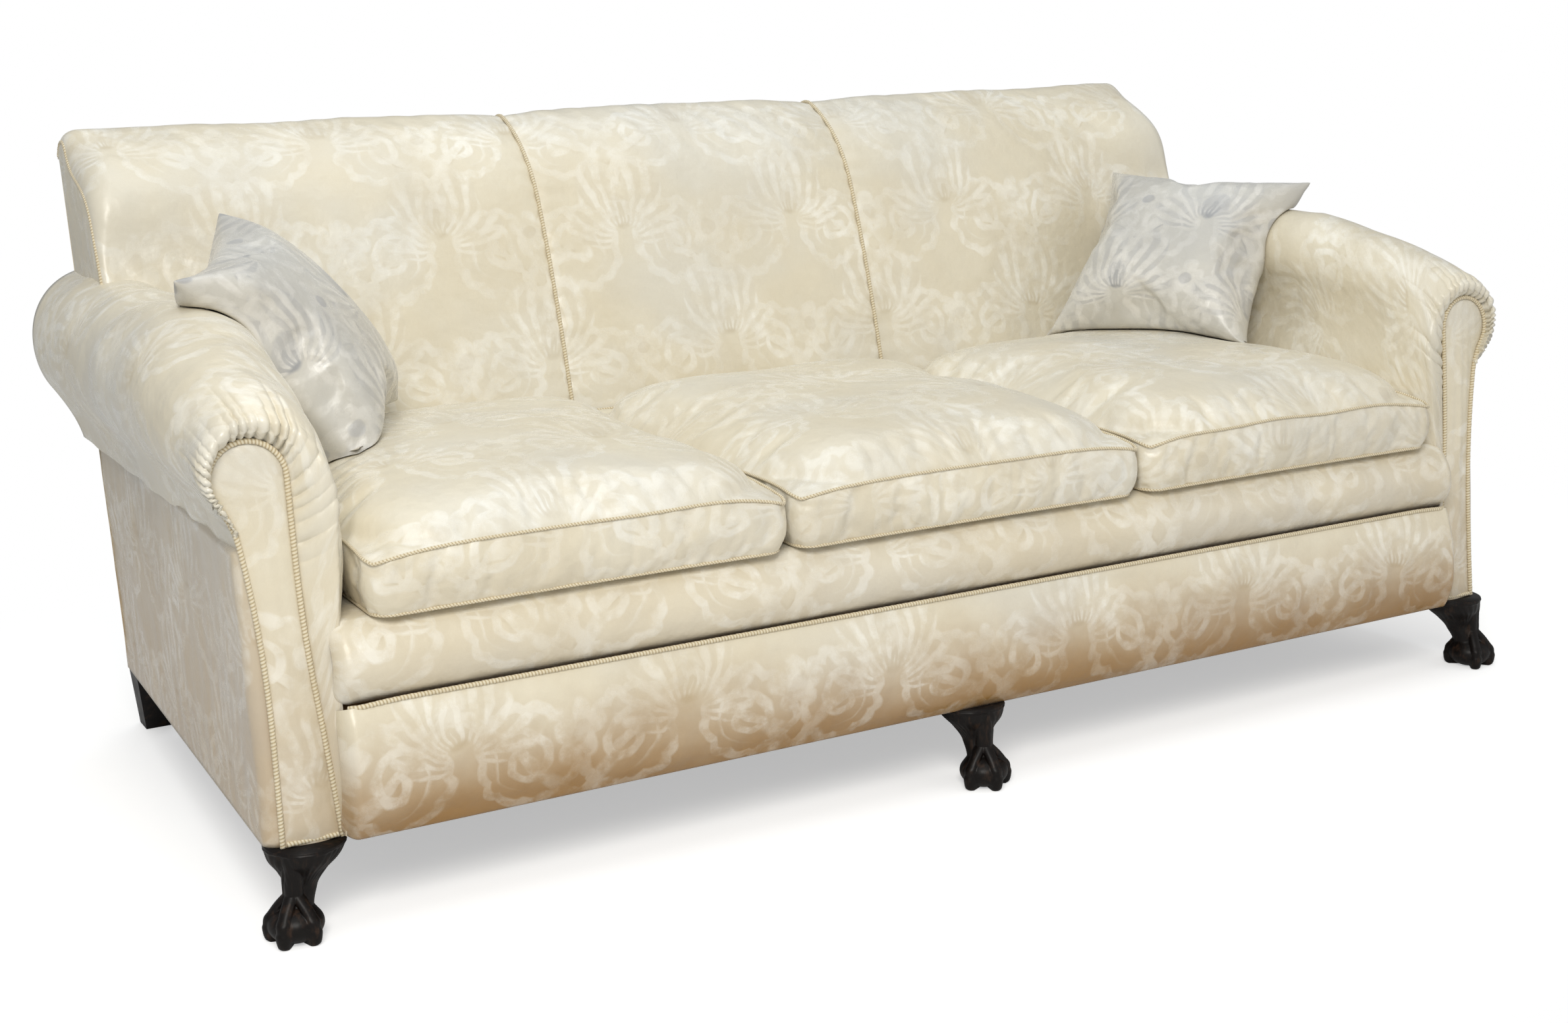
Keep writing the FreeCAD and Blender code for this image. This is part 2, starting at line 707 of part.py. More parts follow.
def dowel_places():
    """Centre and direction of every dowel on the right side."""
    across, along = V(1, 0, 0), V(0, 1, 0)
    post_in = arm_inner_x + facing_shares[-1][0] * roll_wide + post_inset + timber_gap
    side_x_mid = back_post_x + back_post_wide - rail_thick / 2
    places = []
    for i in range(2):
        z = rail_z + dowel_low + i * dowel_step + 2 * dowel_shift
        places.append((post_in, rail_front_y + rail_thick / 2 + dowel_r, z, across))
        z = rail_z + dowel_low + i * dowel_step
        places.append((back_post_x, back_y(z, cover_deep + rail_thick / 2), z, across))
        z += dowel_shift
        places.append((side_x_mid, post_rear_y + (z - base_z) * arm_rake_share, z, along))
        places.append((side_x_mid, back_y(z, post_deep), z, along))
        z = crest_low_z + (1 + 2 * i) * crest_high / 4
        places.append((back_post_x, back_y(z, cover_deep + back_post_deep / 2), z, across))
    z = arm_rail_z + arm_rail_high / 2
    for y in (post_rear_y + (z - base_z) * arm_rake_share, back_y(z, post_deep)):
        places.append((side_x(y, arm_rail_inset + arm_rail_wide / 2), y, z, along))
    return places


def drilled(shape, holes):
    """A timber with every hole that reaches it."""
    for hole in holes:
        if shape.BoundBox.intersect(hole.BoundBox):
            shape = shape.cut(hole)
    return biggest(shape)


def outside_arm():
    """The flat outside cover: round the front corner, back along the side."""
    wires = []
    bend = math.sqrt(0.5)
    for z in (base_z, side_cover_top_z):
        yf = arm_front_y + (z - base_z) * arm_rake_share
        yr = back_y(z)
        x0 = arm_inner_x + facing_shares[1][0] * roll_wide - cloth
        front_x = side_front_x
        cx, cy = front_x - side_corner_r, yf + side_corner_r
        r, t = side_corner_r, side_corner_r - cloth
        points = [V(x0, yf, z), V(cx, yf, z), V(cx + r * bend, cy - r * bend, z), V(front_x, cy, z),
                  V(side_rear_x, yr, z), V(side_rear_x - cloth, yr, z), V(front_x - cloth, cy, z),
                  V(cx + t * bend, cy - t * bend, z), V(cx, yf + cloth, z), V(x0, yf + cloth, z)]
        wires.append(Part.Wire([
            join(points[0], points[1]), Part.Arc(points[1], points[2], points[3]).toShape(),
            join(points[3], points[4]), join(points[4], points[5]), join(points[5], points[6]),
            Part.Arc(points[6], points[7], points[8]).toShape(), join(points[8], points[9]),
            join(points[9], points[0])]))
    return biggest(loft(wires).cut(facing_room))


def arm_covering(out):
    """The arm's padding or cover blank: the arm's form without the facing, the frame and the hollow."""
    outer = back_post_x + rail_thick
    form = arm_form(out)
    form = form.cut(facing_room)
    form = form.cut(box(outer, half_width, front_y, rear_y, 0, side_cover_top_z + gap))
    form = form.cut(box(0, half_width, rail_front_y - gap, rear_y, 0, arm_tuck_z - gap))
    return biggest(form.cut(back_frame_room))


def arm_stuffing(frame):
    """The hair pad over the arm, without the frame and the hollow inside the arm."""
    inner = arm_inner_x + inner_pad
    pad = arm_covering(-cloth - gap).cut(post_room)
    pad = pad.cut(box(inner, half_width, post_rear_y, rear_y, 0, arm_rail_z))
    pad = pad.cut(frame["arm_top_rail"]).cut(frame["arm_low_rail"])
    return biggest(pad)


def arm_cover():
    """The inside arm cover: over the roll, down inside, and round the front to the facing."""
    return biggest(arm_covering(0.0).cut(arm_form(-cloth)))


def arm_welts():
    """The cord round the facing's edge and the straight cord along its foot."""
    points = arm_outline(facing_shares, roll_shares, 0.0, 0.0)
    inset = cord_r + gap
    y = arm_front_y - cord_r - gap

    def place(x, z):
        return V(x, y + (z - base_z) * arm_rake_share, z)
    run = smooth_run(points, outline_heading, -inset)
    around = cord(arc_edges(run, place), cord_r)
    x0 = points[-1][0] + 2 * inset
    x1 = points[0][0] - 2 * inset
    z = base_z + cord_r
    return [around, cord([join(place(x0, z), place(x1, z))], cord_r)]


def seam_cord(x):
    """The cord over one seam of the inside back."""
    def place(y, z):
        return V(x, y, z)
    return cord(arc_edges(back_outline(cord_r + gap), place), cord_r)


def main():
    """Builds every piece and writes each node."""
    frame = timber()
    legs = leg_places()
    cabriole = cabriole_leg()
    bolt_z = base_z - bolt_in_leg + bolt_long / 2
    bolt_xy = [place[3] for place in legs.values()]
    bolts = [pin(x, y, bolt_z, V(0, 0, 1), bolt_r, bolt_long) for x, y in bolt_xy]
    bolt_holes = [pin(x, y, bolt_z, V(0, 0, 1), bolt_r + fixing_gap, bolt_long + 2 * fixing_gap) for x, y in bolt_xy]
    places = dowel_places()
    dowels = [pin(x, y, z, way, dowel_r, dowel_long) for x, y, z, way in places]
    holes = [pin(x, y, z, way, dowel_r + fixing_gap, dowel_long + 2 * fixing_gap) for x, y, z, way in places]
    both_holes = holes + [mirrored(hole) for hole in holes] + bolt_holes
    save("front_rail", drilled(frame["front_rail"], both_holes))
    save("back_rail", drilled(frame["back_rail"], both_holes))
    save("side_rails", both(drilled(frame["side_rail"], both_holes)))
    save("seat_cross_rails", both(frame["cross_rail"]))
    save("arm_posts", both(drilled(frame["arm_post"], both_holes)))
    save("back_posts", both(drilled(frame["back_post"], both_holes)))
    save("arm_rails", both(group([drilled(frame["arm_top_rail"], both_holes), frame["arm_low_rail"]])))
    save("crest_rail", drilled(frame["crest_rail"], both_holes))
    save("back_low_rail", frame["back_low_bar"])
    save("back_stiles", both(frame["back_stile"]))
    save("corner_blocks", both(group(corner_blocks())))
    save("frame_dowels", both(group(dowels)))
    save("leg_bolts", group(bolts))
    for name, (x, y, turn, bolt) in legs.items():
        if turn is None:
            leg = rear_leg(x, rear_leg_in * x / (back_post_x + back_post_wide / 2))
        else:
            leg = placed(cabriole, x, y, turn)
        save(name, drilled(leg, bolt_holes))

    dust = box(-side_rear_x + cover_deep, side_rear_x - cover_deep, rail_front_y, back_y(base_z, cover_deep),
               base_z, dust_z)
    row_y = front_y + row_front_inset
    x_places = [i * spring_pitch / 2 for i in range(-spring_columns, spring_columns + 1)]
    y_places = [row_y + i * spring_row_pitch / 2 for i in range(2 * spring_rows - 1)]
    strap_edges = (rail_front_y + cloth, back_y(rail_z, cover_deep + cloth))
    straps = webbing(x_places, y_places, side_rear_x - 2 * cover_deep, strap_z, strap_edges)
    save("dust_cover", drilled(dust, bolt_holes))
    save("seat_webbing", group([drilled(strap, bolt_holes) for strap in straps]))

    hessian_z = deck_z - platform_pad - gap
    springs = []
    for row in range(spring_rows):
        for column in range(spring_columns):
            x = (column - (spring_columns - 1) / 2) * spring_pitch
            springs.append(coil_spring(x, row_y + row * spring_row_pitch, rail_z - gap, hessian_z - sheet))
    save("seat_springs", group(springs))
    half = arm_inner_x + deck_side_inset
    seat_y0 = border_front_y + lip_behind_border + lip_deep + gap
    seat_y1 = back_y(hessian_z - sheet, pad_deep + gap)
    save("seat_hessian", box(-half, half, seat_y0, seat_y1, hessian_z - sheet, hessian_z))
    save("seat_stuffing", box(-half, half, seat_y0, seat_y1, hessian_z + gap, deck_z - cloth - gap))
    save("platform_cloth", box(-half, half, seat_y0, seat_y1, deck_z - cloth, deck_z))
    save("front_border", front_border())
    save("front_lip", front_lip())
    save("front_welt", front_welt())

    low_z, high_z = back_rail_low_z + cloth, crest_top_z - cloth
    middles = [i * back_strap_pitch for i in range(-back_strap_side, back_strap_side + 1)]
    uprights = [raked_slab(x - strap_wide / 2, x + strap_wide / 2, low_z, high_z, web_deep, web_deep + sheet)
                for x in middles]
    heights = [low_z + (high_z - low_z) * (i + 1) / (back_strap_rows + 1) for i in range(back_strap_rows)]
    levels = [raked_slab(-back_post_x, back_post_x, z - strap_wide / 2, z + strap_wide / 2,
                         web_deep + sheet + gap, web_deep + 2 * sheet + gap) for z in heights]
    save("back_webbing", group(uprights + levels))
    save("back_hessian", raked_slab(-back_post_x, back_post_x, low_z, high_z, hessian_deep, hessian_deep + sheet))
    pad = back_piece(-back_half + cover_deep, back_half - cover_deep, -cover_deep, cover_deep)
    save("back_stuffing", pad)
    inner_half = back_half - cover_deep
    for name, x0, x1 in (("left", -inner_half, -seam_x - gap / 2), ("centre", -seam_x + gap / 2, seam_x - gap / 2),
                         ("right", seam_x + gap / 2, inner_half)):
        panel = back_piece(x0, x1, 0.0, 0.0)
        core = back_prism(x0 - cloth, x1 + cloth, -cloth, pad_deep, crest_top_z + gap).common(ear_form(cloth))
        save("inside_back_" + name, biggest(panel.cut(core)))
    end = back_piece(back_half - cloth, back_half, 0.0, 0.0)
    save("back_end_facings", both(end))
    save("back_seam_cords", both(seam_cord(seam_x)))
    save("outside_back", raked_slab(-side_rear_x + cover_deep, side_rear_x - cover_deep, base_z,
                                    crest_top_z, 0, cloth))

    save_pair("arm_stuffing", drilled(arm_stuffing(frame), holes))
    save_pair("arm_cover", arm_cover())
    save_pair("arm_facing", facing_prism(arm_front_y, facing_thick, 0.0))
    save_pair("outside_arm", outside_arm())
    save("arm_welts", both(group(arm_welts())))

    for name, x in (("left", -cushion_pitch), ("centre", 0.0), ("right", cushion_pitch)):
        outer = seat_cushion(x, 0.0)
        save("seat_cushion_%s_cover" % name, outer.cut(seat_cushion(x, cushion_cloth)))
        save("seat_cushion_%s_filling" % name, seat_cushion(x, cushion_cloth + gap))
        save("seat_cushion_%s_piping" % name, cushion_piping(x))
    for name, place in scatter_places.items():
        outer = scatter_cushion(place, 0.0)
        cover = outer.cut(scatter_cushion(place, scatter_cloth))
        filling = scatter_cushion(place, scatter_cloth + gap)
        if name == "left":
            cover, filling = mirrored(cover), mirrored(filling)
        save("scatter_cushion_%s_cover" % name, cover)
        save("scatter_cushion_%s_filling" % name, filling)


main()
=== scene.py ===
"""Dresses the three-seat scroll-arm sofa: damask covers, cords, loose cushions and carved feet.

Metres. +Z is up, the sofa faces -Y, and the origin is on the floor under the middle of the sofa.
"""
from __future__ import annotations

import json
import logging
import math
from dataclasses import dataclass
from enum import Enum
from typing import Optional, Sequence, Union

import bmesh
import bpy
import numpy as np
from mathutils import Matrix, Vector
from mathutils.bvhtree import BVHTree


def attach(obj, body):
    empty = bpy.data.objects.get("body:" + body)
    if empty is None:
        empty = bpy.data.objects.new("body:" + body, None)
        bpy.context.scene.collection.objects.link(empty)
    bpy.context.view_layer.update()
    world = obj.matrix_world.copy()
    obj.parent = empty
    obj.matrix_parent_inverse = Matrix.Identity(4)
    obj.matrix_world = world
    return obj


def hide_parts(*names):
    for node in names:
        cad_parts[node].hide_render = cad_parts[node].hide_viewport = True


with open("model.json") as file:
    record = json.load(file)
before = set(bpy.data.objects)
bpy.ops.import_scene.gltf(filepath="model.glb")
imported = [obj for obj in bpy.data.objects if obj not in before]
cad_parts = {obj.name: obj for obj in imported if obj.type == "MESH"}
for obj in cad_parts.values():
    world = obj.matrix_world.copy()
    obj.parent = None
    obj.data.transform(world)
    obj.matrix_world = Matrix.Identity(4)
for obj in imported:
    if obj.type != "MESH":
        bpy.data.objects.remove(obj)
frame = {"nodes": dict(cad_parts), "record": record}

Array = np.ndarray
Numbers = Union[int, float, np.ndarray]
Triple = tuple[float, float, float]
Piece = bpy.types.Object
Material = bpy.types.Material
LOG = logging.getLogger("sofa")

# Overall sizes, the same as the solid model's
BASE_Z = 0.110
BACK_TOP_Z = 0.885
HALF_WIDTH = 1.040
REAR_Y = 0.510
ARM_FRONT_Y = -0.440
ARM_RAKE = 0.09
BACK_RAKE = 0.189
POST_TOP_Z = 0.846
BACK_BASE_Y = REAR_Y - (POST_TOP_Z - BASE_Z) * BACK_RAKE
SEAM_X = 0.281
DECK_Z = 0.364
DECK_HALF = 0.853
TURN_IN_Y = -0.424  # how far back the front cloth is turned in below
LEVEL_GAP = 0.0003


def back_y(z: Numbers) -> Numbers:
    """Depth of the raked outside back at a height."""
    return BACK_BASE_Y + (z - BASE_Z) * BACK_RAKE


# Numpy shapes


def span(count: int) -> Array:
    """Even shares from 0 to 1."""
    return np.linspace(0.0, 1.0, count)


def coords(*parts: Numbers) -> Array:
    """Coordinates given one by one, stretched to one shape and stacked."""
    return np.stack(np.broadcast_arrays(*parts), -1)


def arc_run(points: Array, heading: float, per_arc: int) -> tuple[Array, Array]:
    """Tangent arcs through points, each starting the way the last one ended.

    With a the angle between an arc's heading and its chord, the tangent turns evenly from a to -a.

    Args:
        points: corner points, shaped (..., k, 2).
        heading: the first arc's direction in degrees.
        per_arc: how many points each arc gets.

    Returns:
        The places and the unit normals on the right of the run, each shaped (..., n, 2).
    """
    share = np.linspace(0.0, 1.0, per_arc, endpoint=False)
    hx = np.full(points.shape[:-2], math.cos(math.radians(heading)))
    hz = np.full(points.shape[:-2], math.sin(math.radians(heading)))
    places, normals = [], []
    arcs = points.shape[-2] - 1
    for i in range(arcs):
        start, chord = points[..., i, :], points[..., i + 1, :] - points[..., i, :]
        length = np.linalg.norm(chord, axis=-1)
        ux, uz = chord[..., 0] / length, chord[..., 1] / length
        along, across = hx * ux + hz * uz, hz * ux - hx * uz
        angle = np.arctan2(across, along)
        angle = np.where(np.abs(angle) < 1e-6, 1e-6, angle)[..., None]
        steps = np.append(share, 1.0) if i == arcs - 1 else share
        tangent = angle * (1 - 2 * steps)
        scale = length[..., None] / (2 * np.sin(angle))
        fx = scale * (np.sin(angle) - np.sin(tangent))
        fz = scale * (np.cos(tangent) - np.cos(angle))
        ux, uz = ux[..., None], uz[..., None]
        places.append(coords(start[..., 0:1] + fx * ux - fz * uz, start[..., 1:2] + fx * uz + fz * ux))
        nx, nz = np.sin(tangent), -np.cos(tangent)
        normals.append(coords(nx * ux - nz * uz, nx * uz + nz * ux))
        hx, hz = along * ux[..., 0] + across * uz[..., 0], along * uz[..., 0] - across * ux[..., 0]
    return np.concatenate(places, axis=-2), np.concatenate(normals, axis=-2)


def running(path: Array) -> Array:
    """Distance along a path (..., n, d) from its first point."""
    steps = np.linalg.norm(np.diff(path, axis=-2), axis=-1)
    return np.concatenate([np.zeros(steps.shape[:-1] + (1,)), np.cumsum(steps, axis=-1)], axis=-1)


def resample(path: Array, values: Array, count: int) -> Array:
    """Values (n, k) carried along a path (n, d), taken again at even distances.

    Args:
        path: the points (n, d).
        values: what they carry (n, k).
        count: how many to take.

    Returns:
        The values (count, k).
    """
    far = running(path)
    at = span(count) * far[-1]
    return np.stack([np.interp(at, far, values[:, k]) for k in range(values.shape[1])], -1)


def ease(x: Array, low: float, high: float) -> Array:
    """A smooth step from 0 at low to 1 at high."""
    t = np.clip((x - low) / (high - low), 0.0, 1.0)
    return t * t * (3 - 2 * t)


def ripple(u: Array, v: Array, seed: int, wave: float) -> Array:
    """Soft uneven waves: a sum of seeded sines in many directions, about a wave long.

    Args:
        u: place across.
        v: place along.
        seed: the seed of its draws.
        wave: a wave's length.

    Returns:
        Heights within about -1 to 1.
    """
    count = 9
    total = np.zeros(np.broadcast(u, v).shape)
    for turn, phase, stretch in np.random.default_rng(seed).random((count, 3)):
        k = 2 * math.pi / (wave * (0.6 + 0.9 * stretch))
        way = math.pi * turn
        total = total + np.sin(k * (u * math.cos(way) + v * math.sin(way)) + 6.3 * phase)
    return total / math.sqrt(2 * count)


def grid_normals(grid: Array) -> Array:
    """Unit normals of a grid (n, m, 3), from the cross product of its two directions."""
    cross = np.cross(np.gradient(grid, axis=0), np.gradient(grid, axis=1))
    return cross / np.maximum(np.linalg.norm(cross, axis=-1, keepdims=True), 1e-12)


def smooth_columns(stops: Sequence[tuple[float, ...]], at: Array) -> Array:
    """Table columns between stops, on a monotone smooth curve through them.

    Args:
        stops: rows of (place, value, value, ...), places rising.
        at: where to read.

    Returns:
        The columns but the first, at each place.
    """
    table = np.array(stops)
    place = table[:, 0]
    out = []
    for k in range(1, table.shape[1]):
        value = table[:, k]
        slope = np.diff(value) / np.diff(place)
        both = slope[:-1] * slope[1:]
        mid = np.where(both > 0, 2 * both / (slope[:-1] + slope[1:] + 1e-12), 0.0)
        grade = np.concatenate([slope[:1], mid, slope[-1:]])
        i = np.clip(np.searchsorted(place, at) - 1, 0, len(place) - 2)
        h = place[i + 1] - place[i]
        t = np.clip((at - place[i]) / h, 0.0, 1.0)
        out.append((2 * t ** 3 - 3 * t ** 2 + 1) * value[i] + (t ** 3 - 2 * t ** 2 + t) * h * grade[i]
                   + (3 * t ** 2 - 2 * t ** 3) * value[i + 1] + (t ** 3 - t ** 2) * h * grade[i + 1])
    return np.stack(out, -1)


# Meshes

MERGE_PER_METRE = 20000


def shown(made: Piece) -> Piece:
    """Puts a new object in the scene."""
    bpy.context.scene.collection.objects.link(made)
    return made


def make_piece(name: str, places: Array, corners: Array, uv: Array) -> Piece:
    """A smooth mesh object from arrays.

    Args:
        name: the piece's name.
        places: vertex places (n, 3).
        corners: four vertex numbers for each face (f, 4).
        uv: the cloth's own place in metres at each face corner (f, 4, 2).

    Returns:
        The piece.
    """
    mesh = bpy.data.meshes.new(name)
    mesh.vertices.add(len(places))
    mesh.vertices.foreach_set("co", places.astype(np.float32).ravel())
    mesh.loops.add(corners.size)
    mesh.loops.foreach_set("vertex_index", corners.astype(np.int32).ravel())
    mesh.polygons.add(len(corners))
    mesh.polygons.foreach_set("loop_start", np.arange(0, corners.size, 4, dtype=np.int32))
    mesh.polygons.foreach_set("use_smooth", np.ones(len(corners), bool))
    mesh.update(calc_edges=True)
    layer = mesh.uv_layers.new(name="cloth")
    layer.data.foreach_set("uv", uv.astype(np.float32).ravel())
    mesh.validate(clean_customdata=False)
    return shown(bpy.data.objects.new(name, mesh))


def quads(index: Array) -> Array:
    """Faces between neighbouring rows and columns of a grid of vertex numbers."""
    return coords(index[:-1, :-1], index[1:, :-1], index[1:, 1:], index[:-1, 1:]).reshape(-1, 4)


def quad_values(values: Array) -> Array:
    """Values at the same corners as quads() gives, for a grid (n, m, 2)."""
    corners = [values[:-1, :-1], values[1:, :-1], values[1:, 1:], values[:-1, 1:]]
    return np.stack(corners, -2).reshape(-1, 4, 2)


@dataclass(frozen=True)
class Patch:
    """One grid of places (n, m, 3) with cloth places (n, m, 2).

    The cloth places have one more row or column where the grid closes on itself.
    """

    grid: Array
    uv: Array
    turned: bool = False
    round_columns: bool = False
    round_rows: bool = False

    def faces(self, start: int) -> tuple[Array, Array]:
        """Its faces' corner numbers, counted from start, and the cloth places at those corners.

        Args:
            start: the number of the grid's first vertex.

        Returns:
            Corner numbers (f, 4) and cloth places.
        """
        n, m = self.grid.shape[:2]
        index = np.arange(n * m).reshape(n, m) + start
        if self.round_columns:
            index = np.concatenate([index, index[:, :1]], 1)
        if self.round_rows:
            index = np.concatenate([index, index[:1]], 0)
        way = -1 if self.turned else 1
        return quads(index)[:, ::way], quad_values(self.uv)[:, ::way]


def patch_piece(name: str, patches: Sequence[Patch], merged: bool = False) -> Piece:
    """Several patches as one piece.

    Args:
        name: the piece's name.
        patches: the grids.
        merged: whether they join where they touch; faces that lose a corner by it are left out.

    Returns:
        The piece.
    """
    starts = np.cumsum([0] + [patch.grid.shape[0] * patch.grid.shape[1] for patch in patches])
    faces, spots = zip(*(patch.faces(start) for patch, start in zip(patches, starts)))
    places = np.concatenate([patch.grid.reshape(-1, 3) for patch in patches])
    corners, uv = np.concatenate(faces), np.concatenate(spots)
    if merged:
        keys = np.round(places * MERGE_PER_METRE).astype(np.int64)
        _, first, inverse = np.unique(keys, axis=0, return_index=True, return_inverse=True)
        corners = inverse.reshape(-1)[corners]
        whole = (corners != np.roll(corners, 1, axis=1)).all(axis=1)
        places, corners, uv = places[first], corners[whole], uv[whole]
    return make_piece(name, places, corners, uv)


def grid_piece(name: str, grid: Array, uv: Array, turned: bool = False) -> Piece:
    """A piece from one open grid, its faces looking the other way where it is turned."""
    return patch_piece(name, [Patch(grid, uv, turned)])


def tube(path: Array, radius: float, across: Triple, closed: bool,
         twist: float) -> tuple[Array, Array]:
    """A round cord along a path: each point's circle lies in the plane square to the path there.

    Two strands show where twist lifts the radius by that share along a line that winds round once a pitch.

    Args:
        path: the cord's middle line (n, 3).
        radius: the cord's radius.
        across: a direction that the path never takes.
        closed: whether the path's end meets its start.
        twist: how deep the groove between the strands is, as a share of the radius.

    Returns:
        The grid (n, sides, 3) and its cloth places (n or n + 1, sides + 1, 2).
    """
    sides, pitch = 10, 0.02
    if closed:
        ahead = np.roll(path, -1, axis=0) - np.roll(path, 1, axis=0)
    else:
        ahead = np.gradient(path, axis=0)
    ahead /= np.linalg.norm(ahead, axis=1, keepdims=True)
    side = np.cross(ahead, np.array(across))
    side /= np.linalg.norm(side, axis=1, keepdims=True)
    up = np.cross(side, ahead)
    turn = np.linspace(0.0, 2 * math.pi, sides, endpoint=False)
    far = running(np.concatenate([path, path[:1]]) if closed else path)
    wind = far[:len(path), None] / pitch * 2 * math.pi
    r = radius * (1 - twist + twist * np.abs(np.cos(turn[None] - wind)))
    round_x, round_y = np.cos(turn)[None, :, None], np.sin(turn)[None, :, None]
    ring = r[..., None] * (round_x * side[:, None] + round_y * up[:, None])
    around = np.linspace(0.0, 2 * math.pi * radius, sides + 1)
    uv = coords(far[:, None], around[None])
    return path[:, None] + ring, uv


def tube_piece(name: str, runs: Sequence[tuple[Array, bool]], radius: float, across: Triple,
               twist: float) -> Piece:
    """One piece holding a cord along each run; open runs are closed by a small cap at each end.

    Args:
        name: the piece's name.
        runs: paths, each with whether it is closed.
        radius: the cord's radius.
        across: a direction that no path takes.
        twist: the groove's depth, as a share of the radius.

    Returns:
        The piece.
    """
    patches = []
    for path, closed in runs:
        grid, uv = tube(path, radius, across, closed, twist)
        if not closed:
            first, last = (np.broadcast_to(path[i], grid[:1].shape) for i in (0, -1))
            grid = np.concatenate([first, grid, last])
            uv = np.concatenate([uv[:1], uv, uv[-1:]])
        patches.append(Patch(grid, uv, round_columns=True, round_rows=closed))
    return patch_piece(name, patches)


def outward(piece: Piece) -> Piece:
    """Merges a closed piece's doubled points and turns its faces to look outwards.

    Args:
        piece: a closed piece.

    Returns:
        The same piece.
    """
    work = bmesh.new()
    work.from_mesh(piece.data)
    bmesh.ops.remove_doubles(work, verts=work.verts, dist=1e-5)
    bmesh.ops.recalc_face_normals(work, faces=work.faces)
    work.to_mesh(piece.data)
    work.free()
    return piece


# Shader building


class Kit:
    """Adds nodes to one material's or world's tree."""

    def __init__(self, tree: bpy.types.NodeTree) -> None:
        """Keeps the tree."""
        self.tree = tree

    def node(self, kind: str, settings: Optional[dict] = None,
             inputs: Optional[dict] = None) -> bpy.types.Node:
        """Adds a node.

        Args:
            kind: the node's type, without its ShaderNode.
            settings: its own properties.
            inputs: values or links for its sockets, by name or number.

        Returns:
            The new node.
        """
        new = self.tree.nodes.new("ShaderNode" + kind)
        for key, value in (settings or {}).items():
            setattr(new, key, value)
        for key, value in (inputs or {}).items():
            if isinstance(value, Sock):
                value = value.out
            if isinstance(value, bpy.types.NodeSocket):
                self.tree.links.new(value, new.inputs[key])
            else:
                new.inputs[key].default_value = value
        return new

    def sock(self, kind: str, output: Union[str, int] = 0, settings: Optional[dict] = None,
             inputs: Optional[dict] = None) -> Sock:
        """Adds a node and wraps one of its outputs."""
        return Sock(self, self.node(kind, settings, inputs).outputs[output])

    def blend(self, share: Sock, low: Union[Sock, tuple], high: Union[Sock, tuple]) -> Sock:
        """Mixes two colours."""
        return self.sock("Mix", 2, {"data_type": "RGBA"}, {0: share, 6: low, 7: high})

    def bump(self, strength: float, height: Sock) -> Sock:
        """A normal bumped by a height in metres."""
        return self.sock("Bump", 0, None, {"Strength": strength, "Distance": 1.0, "Height": height})

    def cloth_place(self) -> tuple[Sock, Sock, Sock]:
        """The cloth's own place in metres as a vector and its two numbers.

        Returns:
            The vector, and its place across and along.
        """
        where = self.sock("UVMap", 0, {"uv_map": "cloth"})
        split = self.node("SeparateXYZ", None, {0: where})
        return where, Sock(self, split.outputs[0]), Sock(self, split.outputs[1])

    def object_place(self) -> tuple[Sock, Sock, Sock, Sock]:
        """The place on the sofa in metres as a vector and its three numbers.

        Returns:
            The vector, X, Y and Z.
        """
        where = self.sock("TexCoord", "Object")
        split = self.node("SeparateXYZ", None, {0: where})
        return (where,) + tuple(Sock(self, split.outputs[i]) for i in range(3))

    def joined(self, x: Value, y: Value, z: Value = 0.0) -> Sock:
        """A vector from three numbers."""
        return self.sock("CombineXYZ", 0, None, {0: x, 1: y, 2: z})

    def noise(self, where: Sock, scale: float, detail: float = 3.0, rough: float = 0.5) -> Sock:
        """Noise from 0 to 1."""
        return self.sock("TexNoise", 0, None, {"Vector": where, "Scale": scale, "Detail": detail,
                                                         "Roughness": rough})


